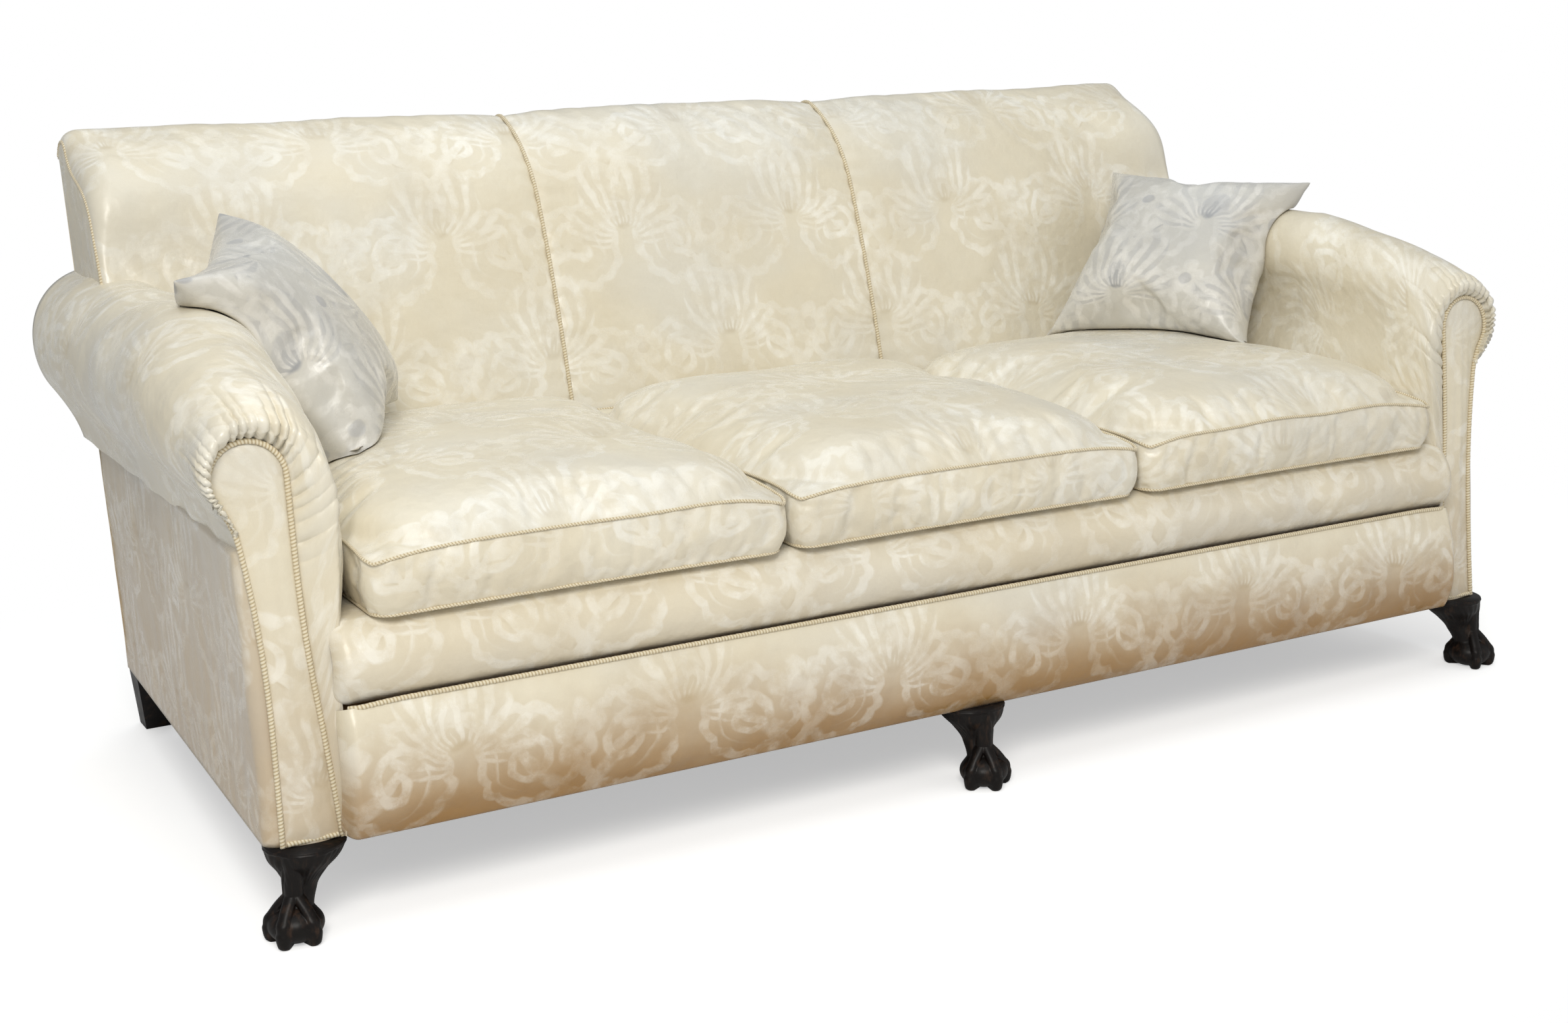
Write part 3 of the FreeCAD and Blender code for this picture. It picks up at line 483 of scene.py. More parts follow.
class Sock:
    """A shader number that can be used in Python sums."""

    def __init__(self, kit: Kit, out: bpy.types.NodeSocket) -> None:
        """Wraps a socket."""
        self.kit, self.out = kit, out

    def math(self, operation: str, *others: Value) -> Sock:
        """Adds a Math node with this number first."""
        inputs = dict(enumerate((self,) + others))
        return self.kit.sock("Math", 0, {"operation": operation}, inputs)

    def flipped(self, operation: str, first: Value) -> Sock:
        """Adds a Math node with this number second."""
        return self.kit.sock("Math", 0, {"operation": operation}, {0: first, 1: self})

    def __add__(self, other: Value) -> Sock:
        """This plus other."""
        return self.math("ADD", other)

    def __radd__(self, other: Value) -> Sock:
        """Other plus this."""
        return self.math("ADD", other)

    def __sub__(self, other: Value) -> Sock:
        """This less other."""
        return self.math("SUBTRACT", other)

    def __rsub__(self, other: Value) -> Sock:
        """Other less this."""
        return self.flipped("SUBTRACT", other)

    def __mul__(self, other: Value) -> Sock:
        """This times other."""
        return self.math("MULTIPLY", other)

    def __rmul__(self, other: Value) -> Sock:
        """Other times this."""
        return self.math("MULTIPLY", other)

    def __truediv__(self, other: Value) -> Sock:
        """This over other."""
        return self.math("DIVIDE", other)

    def __pow__(self, other: Value) -> Sock:
        """This to the power of other."""
        return self.math("POWER", other)

    def abs(self) -> Sock:
        """Its size without its sign."""
        return self.math("ABSOLUTE")

    def cos(self) -> Sock:
        """Its cosine."""
        return self.math("COSINE")

    def sin(self) -> Sock:
        """Its sine."""
        return self.math("SINE")

    def frac(self) -> Sock:
        """Its part after the point."""
        return self.math("FRACT")

    def max(self, other: Value) -> Sock:
        """The larger of two."""
        return self.math("MAXIMUM", other)

    def hypot(self, other: Sock) -> Sock:
        """The length of a flat vector."""
        return (self * self + other * other).math("SQRT")

    def angle(self, other: Sock) -> Sock:
        """The angle whose tangent is this over other."""
        return self.math("ARCTAN2", other)

    def ramp(self, low: float, high: float) -> Sock:
        """A smooth step from 0 at low to 1 at high; low may be the larger.

        Args:
            low: where the step is 0.
            high: where it is 1.

        Returns:
            The step.
        """
        a, b, flip = (low, high, False) if low < high else (high, low, True)
        smooth = {"interpolation_type": "SMOOTHSTEP"}
        step = self.kit.sock("MapRange", 0, smooth, {0: self, 1: a, 2: b})
        return 1 - step if flip else step


Value = Union[Sock, float]
Colour = tuple[float, float, float, float]


def srgb(*screen: int) -> Colour:
    """A screen colour's red, green and blue as linear light."""
    shares = (c / 255 for c in screen)
    return (*(s / 12.92 if s <= 0.04045 else ((s + 0.055) / 1.055) ** 2.4 for s in shares), 1.0)


SILVER = srgb(207, 208, 205)
# The tan of the painted warm shade near the floor.
LOW_WARM_SHADE = srgb(150, 108, 44)
WHITE = srgb(255, 255, 255)


@dataclass(frozen=True)
class Damask:
    """Satin damask: an ogee net of stems with a ribbed palmette in each opening, tone on tone.

    The repeat is width by height, and wanders by sway. Below a set height the ground darkens towards tan by a
    set share: painted warm shade near the floor.
    """

    name: str
    ground: Colour
    light: Colour
    deep: Colour
    width: float = 0.30
    height: float = 0.37
    rough: float = 0.31
    shaded_below: float = 0.0
    low_shade: float = 0.0
    shading: float = 0.50
    sway: float = 0.060
    thread: float = 0.0011

    def figure(self, u: Sock, v: Sock, shift: float) -> tuple[Sock, Sock]:
        """One lattice of palmettes and scrolls.

        Args:
            u: place across in metres.
            v: place along in metres.
            shift: how far the lattice is moved, in repeats.

        Returns:
            The light figure and the deep shading inside it.
        """
        x = ((u / self.width + shift).frac() - 0.5).abs() * self.width
        y = ((v / self.height + shift).frac() - 0.5) * self.height
        fan_y = y + 0.085
        far = x.hypot(fan_y)
        turn = x.angle(fan_y)
        bent = turn + far * 4.0
        petal = ((bent * 3.6).cos().abs()) ** 0.7
        reach = (1 - turn * turn * 0.13) * (0.088 + 0.052 * petal)
        fan = (reach - far).ramp(0.0, 0.010) * (2.25 - turn).ramp(0.0, 0.3) * (far - 0.018).ramp(0.0, 0.008)
        ribs = ((bent * 21.6).sin()).ramp(-0.6, 0.6)
        heart = (0.024 - x.hypot((y + 0.045) * 0.75)).ramp(0.0, 0.006)
        curl_x, curl_y = x - 0.082, y + 0.098
        curl = curl_x.hypot(curl_y)
        wind = curl_x.angle(curl_y)
        spiral = ((curl * 230.0 + wind).sin()).ramp(-0.2, 0.6) * (0.044 - curl).ramp(0.0, 0.008)
        frond = ((curl - 0.058 - 0.006 * ((wind * 6.0).sin().abs())).abs() - 0.005).ramp(0.004, 0.0)
        bud_y = y - 0.112
        bud_turn, bud = x.angle(bud_y), x.hypot(bud_y)
        small = (0.026 + 0.015 * ((bud_turn * 2.5).cos().abs()) - bud).ramp(0.0, 0.006)
        light = (fan * (0.35 + 0.65 * ribs)).max(spiral).max(small * 0.8).max(frond * 0.8)
        deep = heart.max(fan * (1 - ribs) * 0.45).max(small * (0.014 - bud).ramp(0.0, 0.004))
        return light, deep

    def stems(self, u: Sock, v: Sock) -> tuple[Sock, Sock]:
        """The ogee net's leafy stems, and the distance from the net's line.

        Args:
            u: place across in metres.
            v: place along in metres.

        Returns:
            The stems and the distance.
        """
        round_v = (v * (2 * math.pi / self.height)).cos()
        net_x = ((u / self.width).frac() - 0.5).abs() * self.width
        net = (net_x - (0.5 + 0.5 * round_v) * (self.width / 2)).abs()
        leaf = 0.0075 + 0.008 * (v * 95.0 + net_x * 60.0).sin().abs()
        return (leaf - net * 0.75).ramp(0.0, 0.006), net

    def build(self) -> Material:
        """Makes the material.

        Returns:
            The material.
        """
        material, kit, shader = new_material(self.name)
        where, u0, v0 = kit.cloth_place()
        u = u0 + (kit.noise(where, 9.0) - 0.5) * self.sway
        v = v0 + (kit.noise(kit.joined(v0, u0, 0.7), 8.0) - 0.5) * self.sway
        light_a, deep_a = self.figure(u, v, 0.0)
        light_b, deep_b = self.figure(u, v, 0.5)
        stem, net = self.stems(u, v)
        worn = kit.noise(kit.joined(u0, v0, 1.3), 30.0, 4.0, 0.65).ramp(0.34, 0.60)
        cloudy = kit.noise(where, 5.5, 4.0, 0.6)
        wear = cloudy.ramp(0.30, 0.70)
        light = light_a.max(light_b).max(stem * 0.75) * (0.12 + 0.88 * worn) * (0.45 + 0.55 * wear)
        deep = deep_a.max(deep_b).max((0.016 - net).ramp(0.0, 0.008) * (1 - stem) * 0.6) * (0.4 + 0.6 * worn)
        threads = kit.noise(kit.joined(u0 * 1500.0, v0 * 260.0), 1.0, 2.0, 0.6)
        colour = kit.blend(deep * self.shading, self.ground, self.deep)
        colour = kit.blend(light * 0.78, colour, self.light)
        colour = kit.blend((1 - wear) * 0.24, colour, self.deep)
        silver = kit.noise(kit.joined(u0, v0, 4.4), 3.2, 3.0, 0.6).ramp(0.42, 0.68)
        colour = kit.blend(silver * 0.34, colour, SILVER)
        colour = kit.blend((threads - 0.5).abs() * 0.5, colour, self.light)
        # Painted warm shade: below a set height the ground darkens towards tan, most at the foot and less on
        # the light figure.
        if self.shaded_below:
            *_, z = kit.object_place()
            low = (z + (cloudy - 0.5) * 0.09).ramp(self.shaded_below, BASE_Z - 0.01)
            colour = kit.blend(low * self.low_shade * (1 - 0.40 * light), colour, LOW_WARM_SHADE)
        gloss = self.rough - 0.10 * light + 0.10 * deep + 0.08 * (cloudy - 0.5)
        count = 2 * math.pi / self.thread
        weave = (u0 * count).sin() * (v0 * count).sin()
        loose = kit.noise(where, 13.0, 3.0, 0.55) * 0.0085 + kit.noise(kit.joined(u0, v0, 2.1), 42.0) * 0.0020
        height = 0.00022 * (light - deep) + 0.00004 * weave + 0.00006 * threads + loose
        shader.set({"Base Color": colour, "Roughness": gloss, "Normal": kit.bump(0.55, height),
                    "Sheen Weight": 0.10, "Sheen Roughness": 0.35, "Specular IOR Level": 0.66})
        return material


@dataclass(frozen=True)
class CordCloth:
    """Cord or piping in self-coloured cloth with a fine slanting twist, and painted shade in the grooves
    between its strands.
    """

    name: str
    colour: Colour
    groove: Colour

    def build(self) -> Material:
        """Makes the material.

        Returns:
            The material.
        """
        material, kit, shader = new_material(self.name)
        where, u, v = kit.cloth_place()
        slant = ((u * (2 * math.pi / 0.0042)) + (v * (2 * math.pi / 0.019))).sin()
        fleck = kit.noise(where, 900.0, 2.0)
        cloudy = kit.noise(where, 14.0, 3.0)
        strand = slant.ramp(-0.9, 0.35)
        # The groove colour between the strands is painted shade; the random clouding also darkens towards it.
        colour = kit.blend(strand * (0.7 + 0.3 * fleck), self.groove, self.colour)
        colour = kit.blend(cloudy.ramp(0.35, 0.75) * 0.25, colour, self.groove)
        shader.set({"Base Color": colour, "Roughness": 0.62 + 0.1 * fleck,
                    "Normal": kit.bump(0.6, 0.0005 * strand + 0.00015 * fleck), "Sheen Weight": 0.15})
        return material


@dataclass(frozen=True)
class Ebonised:
    """Black stained wood under a worn wax gloss, with a trace of grain and rubbed high spots."""

    name: str = "ebonised_wood"
    colour: Colour = srgb(15, 11, 9)
    rubbed: Colour = srgb(64, 46, 34)

    def build(self) -> Material:
        """Makes the material.

        Returns:
            The material.
        """
        material, kit, shader = new_material(self.name)
        where, x, y, z = kit.object_place()
        grain = kit.noise(kit.joined(x * 260.0, y * 260.0, z * 34.0), 1.0, 4.0, 0.6)
        dull = kit.noise(where, 46.0, 4.0, 0.6)
        edge = kit.noise(kit.joined(x, y, z * 0.4), 95.0, 3.0, 0.6).ramp(0.52, 0.74)
        stained = kit.blend(grain.ramp(0.55, 0.8) * 0.35, self.colour, self.rubbed)
        shader.set({"Base Color": kit.blend(edge * (0.35 + 0.4 * dull), stained, self.rubbed),
                    "Roughness": 0.34 + 0.28 * dull, "Normal": kit.bump(0.35, 0.0004 * grain),
                    "Specular IOR Level": 0.18, "Coat Weight": 0.06, "Coat Roughness": 0.25})
        return material


@dataclass(frozen=True)
class Timber:
    """Planed unfinished hardwood with grain along one direction and small flecks."""

    name: str = "beech"
    pale: Colour = srgb(203, 170, 128)
    dark: Colour = srgb(160, 120, 80)

    def build(self) -> Material:
        """Makes the material.

        Returns:
            The material.
        """
        material, kit, shader = new_material(self.name)
        _, x, y, z = kit.object_place()
        grain = kit.noise(kit.joined(x * 9.0, y * 60.0, z * 60.0), 1.0, 5.0, 0.65)
        fleck = kit.noise(kit.joined(x * 90.0, y * 420.0, z * 420.0), 1.0, 1.0).ramp(0.62, 0.72)
        colour = kit.blend(grain.ramp(0.3, 0.75), self.pale, self.dark)
        colour = kit.blend(fleck * 0.5, colour, self.dark)
        shader.set({"Base Color": colour, "Roughness": 0.62 + 0.15 * grain,
                    "Normal": kit.bump(0.4, 0.0003 * grain)})
        return material


class Weave(Enum):
    """How close a plain cloth is woven, as thread spacing in metres."""

    FINE = 0.0007
    STRAP = 0.0022
    OPEN = 0.0030


@dataclass(frozen=True)
class PlainCloth:
    """Plain-woven cloth: two crossed sets of threads over and under, with slubs."""

    name: str
    colour: Colour
    shade: Colour
    weave: Weave = Weave.FINE

    def build(self) -> Material:
        """Makes the material.

        Returns:
            The material.
        """
        material, kit, shader = new_material(self.name)
        where, x, y, z = kit.object_place()
        k = 2 * math.pi / self.weave.value
        across, along = (x * k).sin(), ((y + z) * k).sin()
        cell = (across * along).ramp(-0.8, 0.8)
        slub = kit.noise(kit.joined(x * 60.0, y * 400.0, z * 400.0), 1.0, 3.0)
        cloudy = kit.noise(where, 8.0, 3.0)
        colour = kit.blend(cell * 0.45 + slub * 0.4, self.shade, self.colour)
        colour = kit.blend(cloudy.ramp(0.35, 0.7) * 0.2, colour, self.shade)
        shader.set({"Base Color": colour, "Roughness": 0.85 - 0.08 * slub,
                    "Normal": kit.bump(0.6, 0.0004 * cell + 0.0002 * slub), "Sheen Weight": 0.1})
        return material


@dataclass(frozen=True)
class Fill:
    """Loose filling such as curled hair or feather: matted clumps of fine fibre."""

    name: str
    colour: Colour
    shade: Colour
    clump: float

    def build(self) -> Material:
        """Makes the material.

        Returns:
            The material.
        """
        material, kit, shader = new_material(self.name)
        where, *_ = kit.object_place()
        mat = kit.noise(where, 1 / self.clump, 6.0, 0.7)
        fibre = kit.noise(where, 22 / self.clump, 3.0, 0.6)
        colour = kit.blend(mat.ramp(0.3, 0.7) * (0.6 + 0.4 * fibre), self.shade, self.colour)
        shader.set({"Base Color": colour, "Roughness": 0.85 + 0.1 * fibre,
                    "Normal": kit.bump(0.8, 0.003 * mat + 0.0008 * fibre)})
        return material


@dataclass(frozen=True)
class DrawnSteel:
    """Dull drawn steel wire with a bronze lacquer worn in patches."""

    name: str = "steel"
    colour: Colour = srgb(150, 148, 145)
    lacquer: Colour = srgb(112, 92, 70)

    def build(self) -> Material:
        """Makes the material.

        Returns:
            The material.
        """
        material, kit, shader = new_material(self.name)
        where, *_ = kit.object_place()
        worn = kit.noise(where, 60.0, 4.0).ramp(0.4, 0.65)
        fine = kit.noise(where, 900.0, 2.0)
        shader.set({"Base Color": kit.blend(worn, self.lacquer, self.colour), "Metallic": 0.75 + 0.25 * worn,
                    "Roughness": 0.32 + 0.2 * fine, "Normal": kit.bump(0.3, 0.0001 * fine)})
        return material


class Principled:
    """A material's main shader."""

    def __init__(self, kit: Kit, node: bpy.types.Node) -> None:
        """Keeps the shader."""
        self.kit, self.shader = kit, node

    def set(self, values: dict) -> None:
        """Sets or links the shader's sockets by name.

        Args:
            values: numbers, colours or sockets by the names of the shader's own.
        """
        for key, value in values.items():
            if isinstance(value, Sock):
                self.kit.tree.links.new(value.out, self.shader.inputs[key])
            else:
                self.shader.inputs[key].default_value = value


def emptied(owner: Union[Material, bpy.types.World]) -> Kit:
    """Empties a new material's or world's node tree and gives its kit.

    Args:
        owner: the new material or world.

    Returns:
        Its kit.
    """
    owner.use_nodes = True
    owner.node_tree.nodes.clear()
    return Kit(owner.node_tree)


def new_material(name: str) -> tuple[Material, Kit, Principled]:
    """An empty node material with its kit and main shader.

    Args:
        name: the material's name.

    Returns:
        The material, its kit and its shader.
    """
    material = bpy.data.materials.new(name)
    kit = emptied(material)
    shader = kit.node("BsdfPrincipled")
    kit.node("OutputMaterial", None, {0: shader.outputs[0]})
    return material, kit, Principled(kit, shader)


class Finishes:
    """Every finish of the sofa, made once, and how pieces get them."""

    def __init__(self) -> None:
        """Builds one material for each slot, and two more damasks for the border and the sides: shaded copies
        with stronger painted warm shade towards the floor.
        """
        cream, pale, deep = srgb(224, 215, 192), srgb(247, 244, 233), srgb(188, 172, 138)
        # Every damask gets painted warm shade towards the floor.
        damask = Damask("damask", cream, pale, deep, shaded_below=0.46, low_shade=0.34).build()
        # A shaded copy for the front border: strong painted warm shade at its foot.
        self.border = Damask("damask_border_shaded", cream, pale, deep, shaded_below=0.275, low_shade=0.98).build()
        # A shaded copy for the outside arms: stronger painted warm shade, reaching higher up.
        self.side = Damask("damask_side_shaded", cream, pale, deep, shaded_below=0.78, low_shade=0.50).build()
        lilac = Damask("lilac_damask", srgb(203, 199, 188), srgb(232, 228, 219), srgb(112, 116, 126),
                       width=0.24, height=0.30, shading=0.74).build()
        self.by_slot = {
            "damask": damask, "lilac_damask": lilac, "ebonised_wood": Ebonised().build(),
            "cord": CordCloth("cord", srgb(232, 222, 196), srgb(186, 168, 132)).build(),
            "beech": Timber().build(), "steel": DrawnSteel().build(),
            "calico": PlainCloth("calico", srgb(226, 219, 200), srgb(196, 186, 162)).build(),
            "jute": PlainCloth("jute", srgb(186, 158, 112), srgb(128, 102, 64), Weave.STRAP).build(),
            "hessian": PlainCloth("hessian", srgb(176, 148, 104), srgb(110, 86, 54), Weave.OPEN).build(),
            "hair": Fill("hair", srgb(96, 76, 58), srgb(44, 33, 25), 0.03).build(),
            "dust_cloth": PlainCloth("dust_cloth", srgb(34, 33, 34), srgb(16, 16, 17)).build(),
            "feather": Fill("feather", srgb(232, 227, 214), srgb(196, 188, 170), 0.05).build(),
        }

    def dress(self, piece: Piece, slot: str, node: str, body: str = "sofa",
              look: Optional[Material] = None) -> Piece:
        """Gives a new piece its finish and its body, and hides the node that it stands for.

        Args:
            piece: the new piece.
            slot: the record's name for its finish.
            node: the node.
            body: the moving body that it rides on.
            look: its material, where it isn't the slot's own.

        Returns:
            The same piece.
        """
        piece.data.materials.clear()
        piece.data.materials.append(look or self.by_slot[slot])
        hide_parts(node)
        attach(piece, body)
        LOG.info("%s: %d faces, on %s", piece.name, len(piece.data.polygons), body)
        return piece


def thicken(piece: Piece, depth: float) -> None:
    """Gives a sheet a thickness behind its face."""
    made = piece.modifiers.new("thick", "SOLIDIFY")
    made.thickness, made.offset = depth, -1.0


def mirror_x(grid: Array, side: float) -> Array:
    """The grid itself for the right side, or its mirror image for the left."""
    return grid * np.array([side, 1.0, 1.0])


def at_x(x: Numbers, yz: Array) -> Array:
    """Places (y, z) carried to X, as (x, y, z)."""
    return np.concatenate([np.broadcast_to(x, yz.shape[:-1])[..., None], yz], -1)


def side_by_side(parts: Sequence[Array], rows: int) -> Array:
    """Grids (rows or 1, n) joined along their columns, each single row repeated."""
    return np.concatenate([np.broadcast_to(part, (rows, part.shape[-1])) for part in parts], 1)


def rounded(piece: Piece) -> None:
    """Smooths a piece by one level of subdivision."""
    made = piece.modifiers.new("round", "SUBSURF")
    made.levels = made.render_levels = 1


# The sofa's sub-assemblies

WELT_R = 0.0034
CORD_TWIST = 0.12


@dataclass
class Arm:
    """One scroll arm: gathered cover, padded facing, welt and flat outside panel.

    The shares are the outline's arc ends for the facing and for the full roll, as shares of the arm's width
    and height. The cover swells forwards of the facing by front_swell, turns over the front edge in its
    first turn_over columns and reaches the full roll roll_full behind the facing. It tucks in at tuck_z.
    """

    side: float
    finishes: Finishes
    outer_x: float
    inner_x: float = 0.848
    top_z: float = 0.690
    front_swell: float = 0.0195
    lead: float = 0.014
    roll_full: float = 0.250
    roll_mid: tuple[float, float] = (0.953, 0.535)
    turn_over: int = 16
    tuck_z: float = 0.300
    shoulder_z: float = 0.44
    pleat_deep: float = 0.0115
    pleat_long: float = 0.052
    puff: float = 0.0040
    facing_crown: float = 0.0075
    facing_middle: tuple = ((0.11, 0.9215), (0.21, 0.923), (0.29, 0.9305), (0.37, 0.937), (0.49, 0.9425),
                            (0.54, 0.953))
    rear_mid_x: float = 0.952
    rear_mid_z: tuple[float, float] = (0.455, 0.600)
    pleats: int = 17
    facing_shares: tuple = ((0.568, 0.0), (0.557, 0.241), (0.635, 0.607), (0.734, 0.690), (0.547, 0.809),
                            (0.318, 0.733), (0.318, 0.552), (0.281, 0.307), (0.203, 0.0))
    roll_shares: tuple = ((0.610, 0.0), (0.610, 0.310), (0.651, 0.552), (0.854, 0.717), (0.5, 1.0),
                          (0.0, 0.834), (0.0, 0.672), (0.094, 0.355), (0.203, 0.0))
    heading: float = 91.5
    side_front_x: float = 0.976
    side_rear_x: float = 0.950
    side_top_z: float = 0.452
    corner_r: float = 0.018

    @property
    def label(self) -> str:
        """The side's name, as seen from the front."""
        return "right" if self.side > 0 else "left"

    def sided(self, name: str, grid: Array, uv: Array, turned: bool) -> Piece:
        """A piece of this arm from its right arm's grid, named with its side."""
        return grid_piece(name % self.label, mirror_x(grid, self.side), uv, turned)

    def outlines(self, top: Array, inner: Array, per_arc: int) -> tuple[Array, Array]:
        """Arm outlines in X and Z, with their normals.

        Args:
            top: each outline's share of the way from facing to full roll at its top.
            inner: the same at its inner foot.
            per_arc: how many points each arc gets.

        Returns:
            Places and normals on the right, each (outlines, points, 2).
        """
        a, b = np.array(self.facing_shares), np.array(self.roll_shares)
        t = np.stack([top] * 5 + [(top + inner) / 2] + [inner] * 3, -1)[..., None]
        share = a + (b - a) * t
        width = HALF_WIDTH - self.inner_x + (self.outer_x - HALF_WIDTH) * top
        size = coords(width, self.top_z - BASE_Z)[:, None]
        return arc_run(np.array([self.inner_x, BASE_Z]) + share * size, self.heading, per_arc)

    def keyhole(self, per_arc: int) -> tuple[Array, Array]:
        """The facing's outline in X and Z, with its normals."""
        flat, right = self.outlines(np.zeros(1), np.zeros(1), per_arc)
        return flat[0], right[0]

    def stations(self) -> tuple[Array, Array, Array]:
        """Each of the cover's columns: its depth and its shares of the way to the full roll.

        The columns start at the welt, turn over the front edge and follow the roll to the back.

        Returns:
            The depths, the shares at the top and the shares at the inner foot.
        """
        front = span(self.turn_over)
        depth = span(46)[1:] ** 1.5
        rear = np.linspace(ARM_FRONT_Y + self.roll_full, float(back_y(BASE_Z)), 44)[1:]
        y = np.concatenate([ARM_FRONT_Y + 0.001 - self.front_swell * np.sin(front * math.pi / 2) ** 0.75,
                            ARM_FRONT_Y - self.lead + (self.roll_full + self.lead) * depth, rear])
        done = np.concatenate([depth, np.ones(len(rear))])
        top = np.concatenate([0.03 + 0.19 * front ** 1.3, 0.22 + 0.78 * done ** 0.55])
        inner = np.concatenate([0.04 + 0.76 * front, 1 - 0.2 * (1 - done) ** 12])
        return y, top, inner

    def columns(self, y: Array, flat: Array) -> tuple[Array, Array]:
        """Each outline taken again from the side seam, over the roll, to its inner foot.

        Args:
            y: each outline's depth.
            flat: the outlines in X and Z.

        Returns:
            Places in X and Z (rows, columns, 2), and distances round the outlines (rows, columns).
        """
        spots = self.row_shares(flat[self.turn_over - 1], 440)
        below = np.linspace(0, 1, 61)[1:]
        places, rise = [], []
        for path, depth in zip(flat, y):
            far, crest = running(path), np.argmax(path[:, 1])
            start = far[np.argmax(path[:, 1] > self.side_top_z - 0.004)]
            low = BASE_Z + 0.004 + 0.172 * float(np.clip((depth - TURN_IN_Y) / 0.024, 0.0, 1.0))
            tuck, end = np.interp([self.tuck_z, low], path[crest:, 1][::-1], far[crest:][::-1])
            share = np.concatenate([start + spots * (tuck - start), tuck + (end - tuck) * below])
            places.append(np.stack([np.interp(share, far, path[:, k]) for k in range(2)], -1))
            rise.append(share)
        return np.stack(places, 1), np.stack(rise, 1)

    def raked(self, flat: Array, y: Array) -> Array:
        """Columns in X and Z put at their depths: leaning like the facing in front and like the back behind.

        Under the roll's outer side the cloth keeps to the facing and doesn't swell forwards.

        Args:
            flat: the columns in X and Z (rows, columns, 2).
            y: each column's depth.

        Returns:
            The places (rows, columns, 3).
        """
        x, z = flat[..., 0], flat[..., 1]
        first_y = ARM_FRONT_Y - self.lead
        rake = ARM_RAKE + (BACK_RAKE - ARM_RAKE) * np.clip((y - first_y) / (back_y(BASE_Z) - first_y), 0, 1)
        outer = np.arange(len(z))[:, None] < np.argmax(z, axis=0)[None]
        hollow = outer * (1 - ease(z, self.side_top_z - 0.002, 0.512))
        depth = y[None] + hollow * np.maximum(ARM_FRONT_Y + 0.001 - y[None], 0.0) + (z - BASE_Z) * rake[None]
        return coords(x, depth, z)

    def gathers(self, grid: Array, along: Array) -> Array:
        """How far the cover stands out: pleats are valleys 1 - |sin|^0.7 that die out from the welt.

        Args:
            grid: the cover's places.
            along: each place's distance from the welt.

        Returns:
            The heights (rows, columns).
        """
        rng = np.random.default_rng(11 if self.side > 0 else 12)
        edge_x, edge_z = (grid[:, self.turn_over - 1:self.turn_over, k] for k in (0, 2))
        turn = np.arctan2(edge_x - self.roll_mid[0], edge_z - self.roll_mid[1])
        wobble = 0.35 * np.sin(turn * 3.1 + rng.random() * 6) + 0.22 * np.sin(turn * 7.3 + rng.random() * 6)
        valley = 1 - np.abs(np.sin(turn * self.pleats + wobble * math.pi)) ** 0.7
        strength = 0.6 + 0.4 * np.sin(turn * 5.1 + rng.random() * 6) * np.sin(turn * 2.3)
        length = self.pleat_long + 0.020 * np.sin(turn * 9.7 + rng.random() * 6)
        fade = np.exp(-(along / length) ** 2) * ease(along, -0.002, 0.010)
        puff = self.puff * np.exp(-((along - 0.034) / 0.026) ** 2)
        return ease(edge_z, 0.43, 0.50) * (puff - self.pleat_deep * valley * strength * fade)

    def cover(self) -> Piece:
        """The gathered cover, with the hair pad inside it.

        Returns:
            The dressed piece.
        """
        y, top, inner = self.stations()
        flat, around = self.columns(y, self.outlines(top, inner, 60)[0])
        grid = self.raked(flat, y)
        along = running(grid)
        seed = 21 if self.side > 0 else 22
        small = 0.0022 * ripple(around, along, seed, 0.16)
        fine = 0.0006 * ripple(around * 2.0, along, seed + 10, 0.05) * np.exp(-along / 0.15)
        out = grid_normals(grid)
        away = flat[:, 60:] - np.array(self.roll_mid)
        if np.mean(out[:, 60:, 0] * away[..., 0] + out[:, 60:, 2] * away[..., 1]) < 0:
            out = -out
        grid = grid + out * (self.gathers(grid, along) + (small + fine) * ease(along, 0.0, 0.03))[..., None]
        uv = coords(around + 0.08, along)
        self.pad(grid[::4, 24::2] - out[::4, 24::2] * 0.016, uv[::4, 24::2])
        grid, uv = self.capped(grid, uv)
        piece = self.sided("arm_cover_%s_cloth", grid, uv, self.side > 0)
        self.finishes.dress(piece, "damask", "arm_cover_" + self.label)
        return piece

    def pad(self, inside: Array, uv: Array) -> None:
        """The hair pad on a grid of places just inside the cover.

        Args:
            inside: the places.
            uv: the cloth places.
        """
        pad = self.sided("arm_stuffing_%s_pad", inside, uv, self.side > 0)
        thicken(pad, 0.006)
        self.finishes.dress(pad, "hair", "arm_stuffing_" + self.label)

    def capped(self, grid: Array, uv: Array) -> tuple[Array, Array]:
        """The cover with columns added that draw its rear edge in to the roll's middle line and close it.

        Args:
            grid: the cover's places.
            uv: its cloth places.

        Returns:
            Both with the added columns.
        """
        end = grid[:, -1:]
        middle = end.copy()
        middle[..., 0] = self.rear_mid_x
        middle[..., 2] = np.clip(end[..., 2], *self.rear_mid_z)
        t = np.array([0.04, 0.15, 0.4, 0.7, 1.0])[None, :, None]
        cap = end + (middle - end) * t
        cap[..., 1] = back_y(cap[..., 2]) - 0.0010 * t[..., 0]
        return np.concatenate([grid, cap], 1), np.concatenate([uv, uv[:, -1:] + t * np.array([0.0, 0.06])], 1)

    def row_shares(self, path: Array, count: int) -> Array:
        """Shares of the way round an outline, three times as close above the shoulders for the pleats.

        Args:
            path: the outline.
            count: how many to take.

        Returns:
            The shares (count,).
        """
        far = running(path)
        weight = np.where(path[:, 1] > self.shoulder_z, 3.0, 1.0)
        start = np.argmax(path[:, 1] > self.side_top_z - 0.004)
        end = len(path) - np.argmax(path[::-1, 1] > self.tuck_z)
        total = np.concatenate([[0.0], np.cumsum((weight[1:] * np.diff(far))[start:end - 1])])
        shares = (far[start:end] - far[start]) / (far[end - 1] - far[start])
        return np.interp(span(count), total / total[-1], shares)

